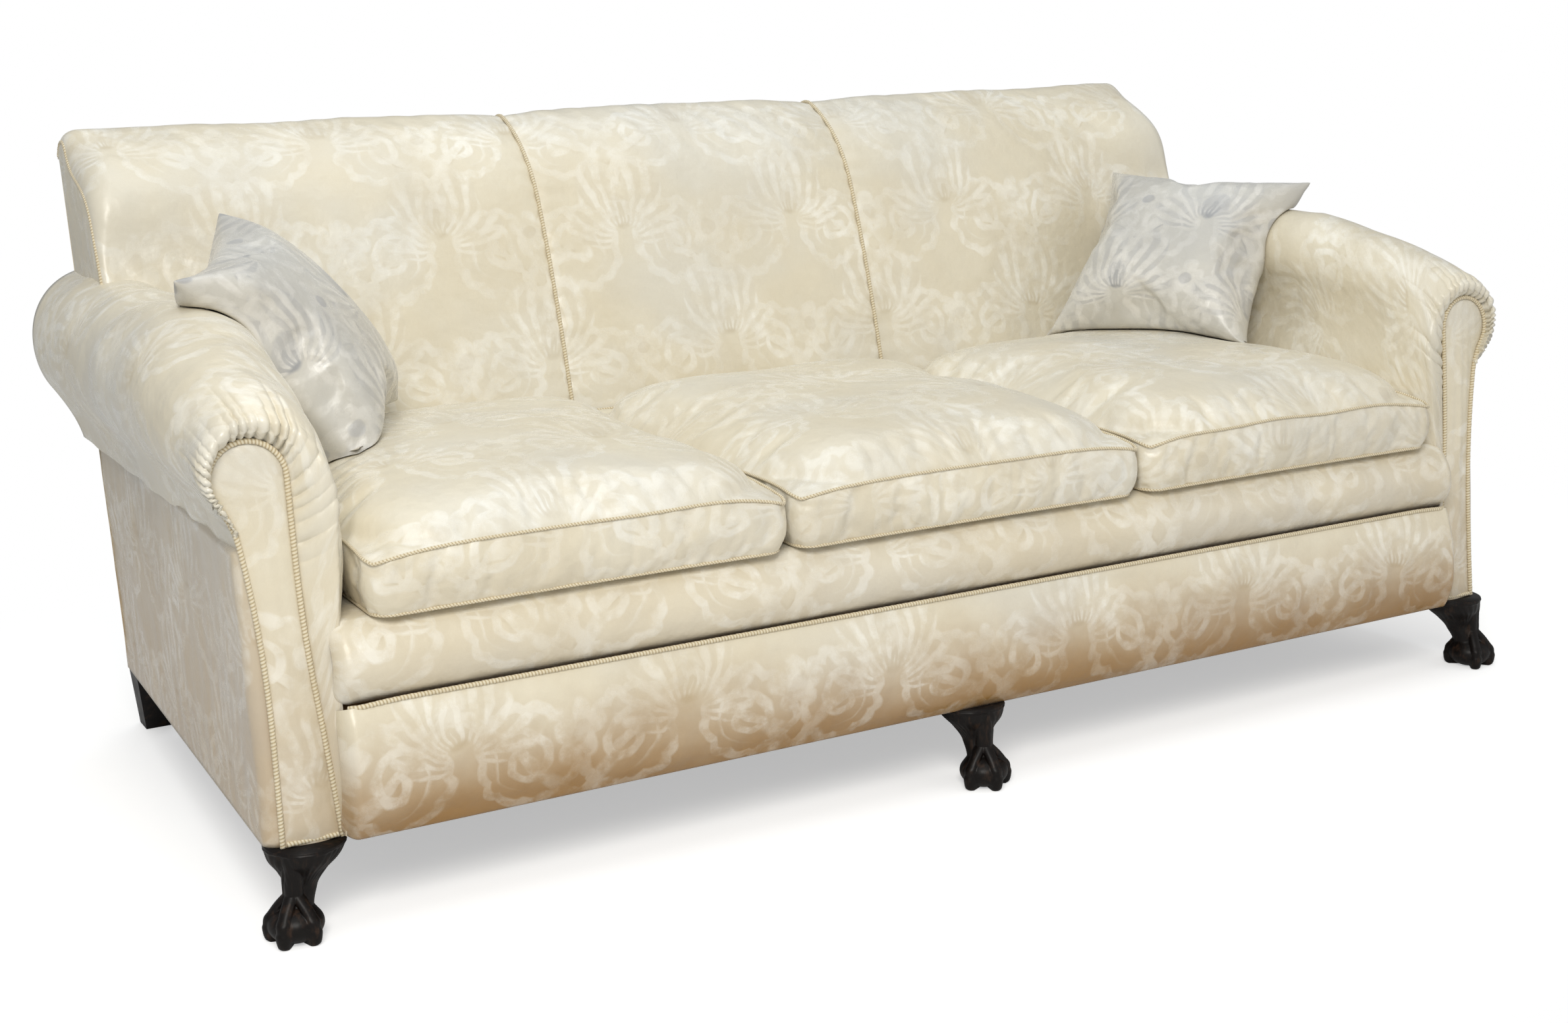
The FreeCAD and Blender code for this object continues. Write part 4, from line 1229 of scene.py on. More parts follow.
    def facing(self) -> Piece:
        """The padded keyhole facing: its outline drawn in to a middle line, and crowned.

        Returns:
            The dressed piece.
        """
        flat, _ = self.keyhole(44)
        edge = resample(flat, flat, 260)
        mid_z = np.clip(edge[:, 1], BASE_Z, self.roll_mid[1])
        mid_x = np.interp(mid_z, *np.array(self.facing_middle).T)
        t = span(26)[None]
        drawn = edge[:, None] + (coords(mid_x, mid_z) - edge)[:, None] * (1 - (1 - t) ** 1.6)[..., None]
        x, z = drawn[..., 0], drawn[..., 1]
        crown = self.facing_crown * np.sqrt(np.clip(1 - (1 - t) ** 2.2, 0, 1))
        wave = 0.0006 * ripple(x * 3, z, 41, 0.07) * ease(t, 0.0, 0.2)
        y = ARM_FRONT_Y + 0.0015 + (z - BASE_Z) * ARM_RAKE - crown - wave
        grid, uv = coords(x, y, z), coords(x, z + 0.13)
        piece = self.sided("arm_facing_%s_cloth", grid, uv, self.side < 0)
        self.finishes.dress(piece, "damask", "arm_facing_" + self.label)
        return piece

    def welt_runs(self) -> list[tuple[Array, bool]]:
        """The welt's path round the facing and its straight run along the foot.

        Returns:
            The two paths, each open.
        """
        flat, right = self.keyhole(60)
        line = flat + right * 0.0006
        spots = resample(line, line, 420)
        y = ARM_FRONT_Y - 0.0022 + (spots[:, 1] - BASE_Z) * ARM_RAKE
        around = mirror_x(coords(spots[:, 0], y, spots[:, 1]), self.side)
        foot_x = np.linspace(spots[0, 0] - 0.005, spots[-1, 0] + 0.005, 40)
        foot = coords(foot_x, ARM_FRONT_Y - 0.0028, BASE_Z + WELT_R)
        return [(around, False), (mirror_x(foot, self.side), False)]

    def outside(self) -> Piece:
        """The flat outside panel: a plan line round the front corner and along the side, raised.

        The line's front follows the facing's lean and its rear the back's; the cloth bellies by a soft
        ripple.

        Returns:
            The dressed piece.
        """
        v = span(60)[:, None]
        z = BASE_Z + 0.0005 + v * (self.side_top_z - BASE_Z)
        flat, _ = self.keyhole(44)
        rising = flat[:np.argmax(flat[:, 1])]
        start_x = np.interp(z, rising[:, 1], rising[:, 0]) + 0.001
        front_y = ARM_FRONT_Y + 0.0015 + (z - BASE_Z) * ARM_RAKE
        turn = np.linspace(0.0, math.pi / 2, 14)
        bend_x = self.side_front_x - self.corner_r
        lead = span(8)[:-1]
        rest = span(150)[1:]
        side_x = self.side_front_x + (self.side_rear_x - self.side_front_x) * rest
        x_front, x_bend = start_x + (bend_x - start_x) * lead, bend_x + self.corner_r * np.sin(turn)
        x = side_by_side([x_front, x_bend, side_x], 60)
        y_bend = front_y + self.corner_r - self.corner_r * np.cos(turn)
        y_side = y_bend[:, -1:] + (back_y(z) - y_bend[:, -1:]) * rest
        y = side_by_side([np.repeat(front_y, len(lead), 1), y_bend, y_side], 60)
        grid = coords(x, y, z)
        far = running(grid)
        belly = 0.0022 * ripple(far, grid[..., 2] * 0.7, 51, 0.34)
        belly = belly + 0.0009 * ripple(far * 2, grid[..., 2], 52, 0.10)
        edge = ease(v, 0.0, 0.12) * ease(1 - v, 0.0, 0.08) * ease(far, 0.0, 0.03)
        normal = grid_normals(grid)
        sign = np.sign(normal[30, 100, 0])
        grid = grid + normal * (sign * (belly - 0.0008) * edge)[..., None]
        uv = coords(far, grid[..., 2] - 0.05)
        under = grid[:1] + (np.array([0.90, 0.0, BASE_Z]) - grid[:1]) * np.array([0.30, 0.05, 0.0])
        over = grid[-1:] + np.array([-0.012, 0.0, 0.006])
        grid = np.concatenate([under, grid, over])
        uv = np.concatenate([uv[:1], uv, uv[-1:]])
        piece = self.sided("outside_arm_%s_cloth", grid, uv, self.side > 0)
        # Its damask is the shaded copy, with stronger painted warm shade reaching higher up.
        self.finishes.dress(piece, "damask", "outside_arm_" + self.label, look=self.finishes.side)
        return piece


@dataclass
class Back:
    """The padded back: three inside panels, seam cords, end strips and a flat outside panel.

    The shares are the ends of the inside profile's arcs, as shares of its depth and height over the foot.
    Its top corners are rounded by ear_r in front and rear_r behind, and its padding swells there by
    ear_swell.
    """

    finishes: Finishes
    half: float = 0.950
    foot_y: float = 0.200
    depth: float = 0.305
    foot_z: float = DECK_Z + 0.0006
    shares: tuple = ((0.0, 0.0), (0.105, 0.26), (0.262, 0.5675), (0.377, 0.75), (0.574, 0.9135),
                     (0.793, 0.9942), (1.0, 0.933))
    heading: float = 78.0
    cord_r: float = 0.0030
    ear_r: float = 0.048
    ear_swell: float = 0.019
    rear_r: float = 0.010
    rear_top_z: float = 0.850
    ends_from_z: float = 0.56
    rim_from_z: float = 0.60

    def ear(self, y: Array, z: Array) -> tuple[Array, Array]:
        """How round the back's end is along its profile, and how far its padding swells out there.

        Args:
            y: depth along the profile.
            z: height there.

        Returns:
            The end's radius and the swell.
        """
        radius = self.rear_r + (self.ear_r - self.rear_r) * ease(z, 0.70, 0.880) * (1 - ease(y, 0.400, 0.505))
        return radius, self.ear_swell * np.exp(-((z - 0.800) / 0.050) ** 2)

    def profile(self, count: int) -> tuple[Array, Array, Array]:
        """The inside back's side view as places (y, z), outward normals and distances.

        Args:
            count: how many points to take.

        Returns:
            Places, normals and distances.
        """
        points = np.array(self.shares) * np.array([self.depth, BACK_TOP_Z - self.foot_z]) + np.array(
            [self.foot_y, self.foot_z])
        flat, right = arc_run(points, self.heading, 60)
        data = resample(flat, np.concatenate([flat, -right], 1), count)
        return data[:, :2], data[:, 2:], running(data[:, :2])

    def surface(self, x: Array, count: int, out: float) -> tuple[Array, Array, Array, Array]:
        """The padded back's face at each X, grown outwards, with its ends rounded off towards the corners.

        Args:
            x: where to work it out.
            count: how many points the profile gets.
            out: how far it is grown.

        Returns:
            The profile's places moved by out, its normals, the distances along it and each X's distance
            from the nearest seam, the first two shaped (n, 1, 2).
        """
        places, normals, far = self.profile(count)
        seam = np.minimum(np.abs(x - SEAM_X), np.abs(x + SEAM_X))
        z = places[:, 1][:, None]
        radius, swell = self.ear(places[:, 0][:, None], z)
        past = np.clip(np.abs(x) - (self.half - radius), 0.0, radius)
        turn_in = radius - np.sqrt(np.maximum(radius ** 2 - past ** 2, 0.0))
        swell = swell * ease(np.abs(x), 0.760, 0.930)
        moved = places[:, None] + normals[:, None] * (out + swell - turn_in)[..., None]
        return moved, normals[:, None], far[:, None], seam

    def panel(self, name: str, x0: float, x1: float) -> Piece:
        """One inside panel: the profile at each X, full in its middle and drawn down to its seams.

        Args:
            name: which panel.
            x0: its left end.
            x1: its right end.

        Returns:
            The dressed piece.
        """
        x = (x0 + (x1 - x0) * (0.5 - 0.5 * np.cos(np.linspace(0.0, math.pi, 150))))[None]
        base, normals, far, seam = self.surface(x, 150, 0.0035)
        dip = 0.0045 * np.exp(-seam / 0.012) + 0.005 * np.exp(-(seam / 0.06) ** 2)
        wave = 0.0026 * ripple(x, far, 61, 0.30) + 0.0008 * ripple(x * 1.6, far, 62, 0.08)
        pull = np.sin(far * 2 * math.pi / 0.034 + 3 * ripple(x, far, 63, 0.3))
        pull = 0.0012 * pull * np.exp(-seam / 0.022)
        move = (wave * ease(seam, 0.0, 0.05) + pull - dip) * ease(far[::-1], 0.0, 0.02)
        yz = base + normals * move[..., None]
        uv = coords(x + 0.15, far - 0.06)
        piece = grid_piece("inside_back_%s_cloth" % name, at_x(x, yz), uv, turned=True)
        self.finishes.dress(piece, "damask", "inside_back_" + name)
        return piece

    def stuffing(self) -> Piece:
        """The hair pad behind the panels: the same face, further in.

        Returns:
            The dressed piece.
        """
        x = (0.940 * np.sin(np.linspace(-math.pi / 2, math.pi / 2, 120)))[None]
        base, _, far, _ = self.surface(x, 90, -0.012)
        uv = coords(x, far)
        piece = grid_piece("back_stuffing_pad", at_x(x, base), uv, turned=True)
        thicken(piece, 0.030)
        self.finishes.dress(piece, "hair", "back_stuffing")
        return piece

    def ends(self) -> Piece:
        """The strips that close the back's ends, crowned, from the profile to the outside back.

        Returns:
            The dressed piece.
        """
        places, normals, _ = self.profile(90)
        above = places[:, 1] > self.ends_from_z
        places, normals = places[above], normals[above]
        radius, swell = self.ear(places[:, :1], places[:, 1:])
        front = places + normals * (swell - radius + 0.0042)
        rear_z = np.minimum(front[:, 1], POST_TOP_Z)
        rear = coords(np.maximum(back_y(rear_z), front[:, 0]), rear_z)
        t = span(30)[None]
        flat = front[:, None] + (rear - front)[:, None] * t[..., None]
        edge = np.minimum(np.minimum(t, 1 - t) * 6, 1.0)
        x = self.half - 0.002 + 0.003 * np.sqrt(edge)
        parts = [Patch(at_x(side * x, flat), flat, side > 0) for side in (-1.0, 1.0)]
        piece = patch_piece("back_ends_cloth", parts, merged=True)
        return self.finishes.dress(piece, "damask", "back_end_facings")

    def cords(self) -> Piece:
        """The cords over the two seams and round each end's front edge, following the profile.

        Returns:
            The dressed piece.
        """
        places, normals, _ = self.profile(420)
        lifted = places + normals * (self.cord_r * 0.2 - 0.0040)
        upper = places[:, 1] > self.rim_from_z
        radius, swell = self.ear(places[upper, :1], places[upper, 1:])
        rim = places[upper] + normals[upper] * (swell - radius + 0.0045)
        runs = [(at_x(side * x, line), False) for x, line in ((SEAM_X, lifted), (self.half - 0.0008, rim))
                for side in (-1.0, 1.0)]
        piece = tube_piece("back_seam_cords_twist", runs, self.cord_r, (1.0, 0.0, 0.0), CORD_TWIST)
        return self.finishes.dress(piece, "cord", "back_seam_cords")

    def outside(self) -> Piece:
        """The outside back: a raked sheet between the posts with soft waves, turned in at its edges.

        Returns:
            The dressed piece.
        """
        x = np.linspace(-self.half, self.half, 220)[None]
        past = np.clip(np.abs(x) - (self.half - self.rear_r), 0.0, self.rear_r)
        high = self.rear_top_z - (self.rear_r - np.sqrt(self.rear_r ** 2 - past ** 2))
        z = BASE_Z + (high - BASE_Z) * span(90)[:, None]
        room = np.minimum(np.minimum(self.half - np.abs(x), z - BASE_Z), high - z)
        belly = 0.0015 + 0.0020 * ripple(x, z, 71, 0.45) + 0.0006 * ripple(x, z, 72, 0.12)
        belly = belly * ease(room, 0.0, 0.05)
        inset = 0.006 * (1 - ease(room, 0.0, 0.008))
        grid = coords(x, back_y(z) + belly - inset, z)
        uv = coords(x, z)
        piece = grid_piece("outside_back_cloth", grid, uv)
        self.finishes.dress(piece, "damask", "outside_back")
        return piece


@dataclass(frozen=True)
class Roll:
    """A padded piece between the arms: a curved profile carried along X, its ends rounded back.

    The profile's arcs start at heading degrees and pass through shares of a box deep by high behind y0 and
    over z0. The piece reaches to foot at BASE_Z and narrows by slope with height; each end is rounded back
    by end_deep over its last end_r. The seed is for its waves.
    """

    shares: tuple
    heading: float
    y0: float
    deep: float
    z0: float
    high: float
    foot: float
    slope: float
    end_r: float
    end_deep: float
    seed: int

    def grid(self) -> tuple[Array, Array]:
        """The face's places and cloth places.

        Returns:
            The grids (46, 420, 3) and (46, 420, 2).
        """
        points = np.array(self.shares) * np.array([self.deep, self.high]) + np.array([self.y0, self.z0])
        flat, right = arc_run(points, self.heading, 60)
        data = resample(flat, np.concatenate([flat, right], 1), 46)
        even = np.linspace(-1, 1, 420)
        reach = self.foot - (data[:, 1:2] - BASE_Z) * self.slope
        x = reach * np.sign(even) * (1 - (1 - np.abs(even)) ** 1.6)
        past = np.clip(np.abs(x) - (reach - self.end_r), 0.0, self.end_r)
        back_off = self.end_deep * (1 - np.sqrt(np.maximum(1 - (past / self.end_r) ** 2, 0.0)))
        far = running(data[:, :2])[:, None]
        wave = 0.0016 * ripple(x, far, self.seed, 0.26) + 0.0006 * ripple(x * 1.5, far, self.seed + 1, 0.07)
        move = wave * ease(far, 0.0, 0.02) * ease(far[-1] - far, 0.0, 0.02) - back_off
        out = -data[:, 2:] if np.mean(data[:, 2]) > 0 else data[:, 2:]
        y = data[:, :1] + out[:, :1] * move
        z = data[:, 1:2] + out[:, 1:] * move * 0.6
        return coords(x, y, z), coords(x, far)


@dataclass
class Front:
    """The front between the arms: padded border, rolled lip, the cord between them and the deck behind."""

    finishes: Finishes
    deck_rear_y: float = 0.352
    cord_y: float = -0.4615
    cord_z: float = 0.2705
    cord_half: float = 0.8729415
    cord_r: float = 0.0031
    border_roll: Roll = Roll(((0.305, 0.0), (0.0, 0.35), (0.373, 1.0)), 125.0, -0.483, 0.059, BASE_Z, 0.1577,
                             0.8885, 0.028, 0.016, 0.030, 81)
    lip_roll: Roll = Roll(((0.22, 0.0), (0.0, 0.5), (0.39, 1.0)), 150.0, -0.468, 0.104, 0.2681,
                          DECK_Z - 0.2681, 0.8865, 0.010, 0.018, 0.022, 91)

    def border(self) -> Piece:
        """The padded border over the front rail, turned in under its lower edge.

        Returns:
            The dressed piece.
        """
        grid, uv = self.border_roll.grid()
        under = grid[:1].copy()
        under[..., 1] = TURN_IN_Y
        grid = np.concatenate([under, grid])
        uv = np.concatenate([uv[:1] - np.array([0.0, 0.03]), uv]) + np.array([0.0, 0.02])
        piece = grid_piece("front_border_cloth", grid, uv, turned=True)
        # Its damask is the shaded copy, with strong painted warm shade towards the floor.
        self.finishes.dress(piece, "damask", "front_border", look=self.finishes.border)
        return piece

    def lip(self) -> Piece:
        """The rolled lip that the cushions rest on, with rounded ends and its top run back under them.

        Returns:
            The dressed piece.
        """
        grid, uv = self.lip_roll.grid()
        behind = grid[-1:].copy()
        behind[..., 1] = self.lip_roll.y0 + self.lip_roll.deep
        grid = np.concatenate([grid, behind])
        uv = np.concatenate([uv, uv[-1:] + np.array([0.0, 0.06])])
        piece = grid_piece("front_lip_cloth", grid, uv, turned=True)
        self.finishes.dress(piece, "damask", "front_lip")
        return piece

    def cord(self) -> Piece:
        """The cord in the groove between border and lip, dipping a little towards its ends.

        Returns:
            The dressed piece.
        """
        x = np.linspace(-self.cord_half, self.cord_half, 900)
        room = self.cord_half - np.abs(x)
        z = self.cord_z - 0.004 * np.clip(1 - room / 0.08, 0, 1) ** 2
        y = self.cord_y + 0.007 * np.clip(1 - room / 0.02, 0, 1) ** 2
        run = [(coords(x, y, z), False)]
        piece = tube_piece("front_cord_twist", run, self.cord_r, (0.0, 0.0, 1.0), CORD_TWIST)
        return self.finishes.dress(piece, "cord", "front_welt")

    def deck(self) -> Piece:
        """The cloth over the sprung deck: a level sheet with the springs' soft swell.

        Returns:
            The dressed piece.
        """
        x = np.linspace(-DECK_HALF, DECK_HALF, 160)[None]
        y = np.linspace(self.lip_roll.y0 + self.lip_roll.deep + 0.0004, self.deck_rear_y, 80)[:, None]
        swell = np.maximum(0.0012 * ripple(x, y, 99, 0.21), -0.0002) - 0.0002
        edge = ease(DECK_HALF - np.abs(x), 0.0, 0.03) * ease(y - y[0], 0.0, 0.03)
        grid = coords(x, y, DECK_Z + (swell - 0.0006) * edge)
        piece = grid_piece("platform_cloth_sheet", grid, coords(x, y), turned=True)
        self.finishes.dress(piece, "calico", "platform_cloth")
        return piece


def inflate(piece: Piece, pressure: float, held: Array, cap: float, ease_out: float,
            frames: int = 20) -> None:
    """Lets air pressure fill a closed piece as cloth, then keeps the result within a distance of the start.

    Args:
        piece: a closed mesh object.
        pressure: the pressure inside.
        held: numbers of the vertices that stay where they are.
        cap: the farthest that a point may move.
        ease_out: how much larger than the mesh the cloth is cut.
        frames: how many steps to run.
    """
    start = vertex_places(piece)
    group = piece.vertex_groups.new(name="held")
    if len(held):
        group.add(held.tolist(), 1.0, "REPLACE")
    cloth = piece.modifiers.new("fill", "CLOTH")
    made = cloth.settings
    made.quality = 6
    made.mass = 0.3
    made.tension_stiffness = made.compression_stiffness = 16.0
    made.shear_stiffness = 6.0
    made.bending_stiffness = 0.25
    made.use_pressure = True
    made.uniform_pressure_force = pressure
    made.shrink_min = -ease_out
    made.effector_weights.gravity = 0.0
    if len(held):
        made.vertex_group_mass = "held"
    cloth.collision_settings.use_collision = False
    cloth.point_cache.frame_start, cloth.point_cache.frame_end = 1, frames
    scene = bpy.context.scene
    for step in range(1, frames + 1):
        scene.frame_set(step)
    shaped = piece.evaluated_get(bpy.context.evaluated_depsgraph_get()).to_mesh()
    end = np.empty(len(shaped.vertices) * 3)
    shaped.vertices.foreach_get("co", end)
    piece.modifiers.clear()
    piece.vertex_groups.clear()
    scene.frame_set(1)
    move = end.reshape(-1, 3) - start
    size = np.linalg.norm(move, axis=1, keepdims=True)
    set_places(piece, start + move * (cap * np.tanh(size / cap) / np.maximum(size, 1e-9)))


def vertex_places(piece: Piece) -> Array:
    """A mesh object's vertex places (n, 3)."""
    flat = np.empty(len(piece.data.vertices) * 3)
    piece.data.vertices.foreach_get("co", flat)
    return flat.reshape(-1, 3)


def set_places(piece: Piece, places: Array) -> None:
    """Puts vertex places back into a mesh object."""
    piece.data.vertices.foreach_set("co", places.astype(np.float32).ravel())
    piece.data.update()


def filling_bag(cover: Piece, finishes: Finishes, body: str) -> Piece:
    """The filling's bag: a copy of a closed cover, to be drawn in by its maker.

    Args:
        cover: the cushion's cover.
        finishes: the sofa's finishes.
        body: the cushion's name.

    Returns:
        The dressed piece.
    """
    piece = shown(bpy.data.objects.new(body + "_bag", cover.data.copy()))
    finishes.dress(piece, "feather", body + "_filling", body)
    return piece


@dataclass
class SeatCushion:
    """A loose boxed cushion with a crown and piped seams.

    The rear face leans by lean with height, the top seam dips by droop at the front corners, and each side
    bows in by bow at its middle. The boxing tucks in by foot_inset at its foot. The count is how many
    points the cover's grid has along each side.
    """

    name: str
    x: float
    finishes: Finishes
    seed: int
    half: float = 0.2755
    front_y: float = -0.460
    rear_y: float = 0.195
    base_z: float = DECK_Z + LEVEL_GAP
    boxing: float = 0.080
    boxing_rows: int = 15
    crown: float = 0.0555
    droop: float = 0.015
    corner_r: float = 0.026
    lean: float = 0.2
    bow: float = 0.004
    foot_inset: float = 0.0075
    bag_share: Triple = (0.975, 0.980, 0.900)
    piping_r: float = 0.0021
    count: int = 84

    def plan(self, a: Array, b: Array, inset: Numbers, up: Numbers) -> tuple[Array, Array]:
        """Maps a square of side 2 to the cushion's rounded plan.

        Inside each corner's square the point is drawn in so that the square's rim becomes a circle.

        Args:
            a: place across, -1 to 1.
            b: place along, -1 to 1.
            inset: how far the outline is drawn in.
            up: height above the cushion's base, for the rear's lean.

        Returns:
            X and Y.
        """
        y0, y1 = self.front_y + inset, self.rear_y + up * self.lean - inset
        hx, hy = self.half - inset, (y1 - y0) / 2
        x, y = a * hx, b * hy
        cx, cy = hx - self.corner_r, hy - self.corner_r
        dx, dy = np.maximum(np.abs(x) - cx, 0.0), np.maximum(np.abs(y) - cy, 0.0)
        size = np.hypot(dx, dy)
        pull = np.where(size > 0, np.maximum(dx, dy) / np.maximum(size, 1e-9), 1.0)
        corner = (dx > 0) & (dy > 0)
        x = np.where(corner, np.sign(x) * (cx + dx * pull), x)
        y = np.where(corner, np.sign(y) * (cy + dy * pull), y)
        x = x - np.sign(a) * self.bow * (1 - b ** 2) * np.abs(a) ** 3
        y = y - np.sign(b) * self.bow * (1 - a ** 2) * np.abs(b) ** 3
        return self.x + x, y + (y0 + y1) / 2

    def rim(self) -> tuple[Array, Array]:
        """The square's border in order, from the rear left corner round by the front.

        Returns:
            The border's places across and along.
        """
        n = self.count
        run = np.linspace(-1.0, 1.0, n)
        one = np.ones(n - 1)
        a = np.concatenate([-one, run[:-1], one, run[:0:-1]])
        b = np.concatenate([run[:0:-1], -one, run[:-1], one])
        return a, b

    def rim_index(self) -> Array:
        """Numbers of the grid's border vertices, in rim() order."""
        n = self.count
        grid = np.arange(n * n).reshape(n, n)
        return np.concatenate([grid[0, :0:-1], grid[:-1, 0], grid[-1, :-1], grid[:0:-1, -1]])

    def faces(self, a: Array, b: Array) -> tuple[Array, Array]:
        """The domed top's and the flat bottom's places over the square's places a and b.

        Args:
            a: place across, -1 to 1.
            b: place along, -1 to 1.

        Returns:
            Both as (count, count, 3).
        """
        inward = np.clip(1 - (np.abs(a) ** 5 + np.abs(b) ** 5) ** (1 / 5), 0.0, 1.0)
        dome = np.clip(1 - (1 - inward) ** 2.9, 0.0, 1.0) ** 0.5
        x, y = self.plan(a, b, 0.0, self.boxing)
        rise = self.crown * dome * (0.97 + 0.05 * ripple(a, b, self.seed, 1.1))
        top = coords(x, y, self.base_z + self.boxing + self.seam_lift(a, b) + rise)
        x, y = self.plan(a, b, self.foot_inset, 0.0)
        return top, coords(x, y, self.base_z + 0.0006 * (1 - inward))

    def walls(self) -> tuple[Array, Array]:
        """The boxing's places between the two rims, and its cloth places with a row for each rim.

        Returns:
            The places (rim, rows, 3) and the cloth places.
        """
        a, b = self.rim()
        up = span(self.boxing_rows + 2)[1:-1]
        bulge = self.foot_inset * (1 - up) ** 4 - 0.0018 * np.sin(up * math.pi)
        x, y = self.plan(a[:, None], b[:, None], bulge[None], up[None] * self.boxing)
        side = coords(x, y, self.base_z + up * (self.boxing + self.seam_lift(a, b)[:, None]))
        around = running(np.concatenate([side[:, -1], side[:1, -1]]))
        rise = np.linspace(0.0, self.boxing, self.boxing_rows + 2) + 0.21 * (self.seed % 5)
        return side, coords(around[:, None], rise[None])

    def cover(self) -> Piece:
        """The cover: top, bottom and the boxing between their rims, blown up as cloth, and its bag.

        Returns:
            The dressed piece.
        """
        n = self.count
        run = np.linspace(-1.0, 1.0, n)
        top, bottom = self.faces(*np.meshgrid(run, run, indexing="ij"))
        side, wall_uv = self.walls()
        index, rim = np.arange(n * n).reshape(n, n), self.rim_index()[:, None]
        side_index = np.arange(side.shape[0] * side.shape[1]).reshape(side.shape[:2]) + 2 * n * n
        wall = np.concatenate([rim + n * n, side_index, rim], 1)
        wall = np.concatenate([wall, wall[:1]])
        flat_uv = quad_values(top[..., :2])
        corners = np.concatenate([quads(index), quads(index + n * n)[:, ::-1], quads(wall)])
        spots = np.concatenate([flat_uv, flat_uv[:, ::-1], quad_values(wall_uv)])
        places = np.concatenate([part.reshape(-1, 3) for part in (top, bottom, side)])
        piece = make_piece("%s_cloth" % self.name, places, corners, spots)
        inflate(piece, 5.0, np.concatenate([rim[:, 0], np.arange(n * n, 2 * n * n)]), 0.010, 0.035)
        self.settle(piece)
        bag = filling_bag(piece, self.finishes, self.name)
        middle = np.array([self.x, (self.front_y + self.rear_y) / 2, self.base_z + self.boxing / 2])
        set_places(bag, middle + (vertex_places(piece) - middle) * np.array(self.bag_share))
        rounded(piece)
        self.finishes.dress(piece, "damask", self.name + "_cover", self.name)
        return piece

    def seam_lift(self, a: Array, b: Array) -> Array:
        """How far the top seam dips at the front corners, and its slight unevenness."""
        front = np.clip(-b, 0.0, 1.0) ** 6
        return -self.droop * np.abs(a) ** 5 * front + 0.0022 * ripple(a, b, self.seed + 3, 0.9)

    def settle(self, piece: Piece) -> None:
        """Adds the creases that sitting leaves: shallow folds that fan in from corners and seams.

        Args:
            piece: the cover.
        """
        co = vertex_places(piece)
        u = (co[:, 0] - self.x) / self.half
        v = (co[:, 1] - self.front_y) / (self.rear_y - self.front_y)
        topside = ease(co[:, 2], self.base_z + self.boxing, self.base_z + self.boxing + 0.012)
        pull = np.sin(u * 17 + 4 * np.sin(v * 3.1 + self.seed)) * np.exp(-v / 0.10)
        pull += 0.8 * np.sin(v * 21 + 3 * np.sin(u * 2.7 + self.seed)) * np.exp(-(1 - np.abs(u)) / 0.12)
        co[:, 2] += (0.0013 * pull + 0.0016 * ripple(u * 0.5, v * 0.5, self.seed + 7, 0.35)) * topside
        set_places(piece, co)

    def piping(self) -> Piece:
        """Piping along the top and bottom seams, following the rounded plan.

        Returns:
            The dressed piece.
        """
        ra, rb = self.rim()
        runs = []
        for up, out in ((self.boxing, -self.piping_r * 0.55), (0.0035, 0.0055)):
            x, y = self.plan(ra, rb, out, up)
            lift = self.seam_lift(ra, rb) if up > self.boxing / 2 else 0.0
            loop = coords(x, y, self.base_z + up + lift)
            closed = np.concatenate([loop, loop[:1]])
            soft = resample(closed, closed, 1300)[:-1]
            for _ in range(6):
                soft = (np.roll(soft, 1, 0) + soft * 2 + np.roll(soft, -1, 0)) / 4
            runs.append((soft, True))
        piece = tube_piece("%s_piping_cord" % self.name, runs, self.piping_r, (0.0, 0.0, 1.0), 0.06)
        return self.finishes.dress(piece, "cord", self.name + "_piping", self.name)


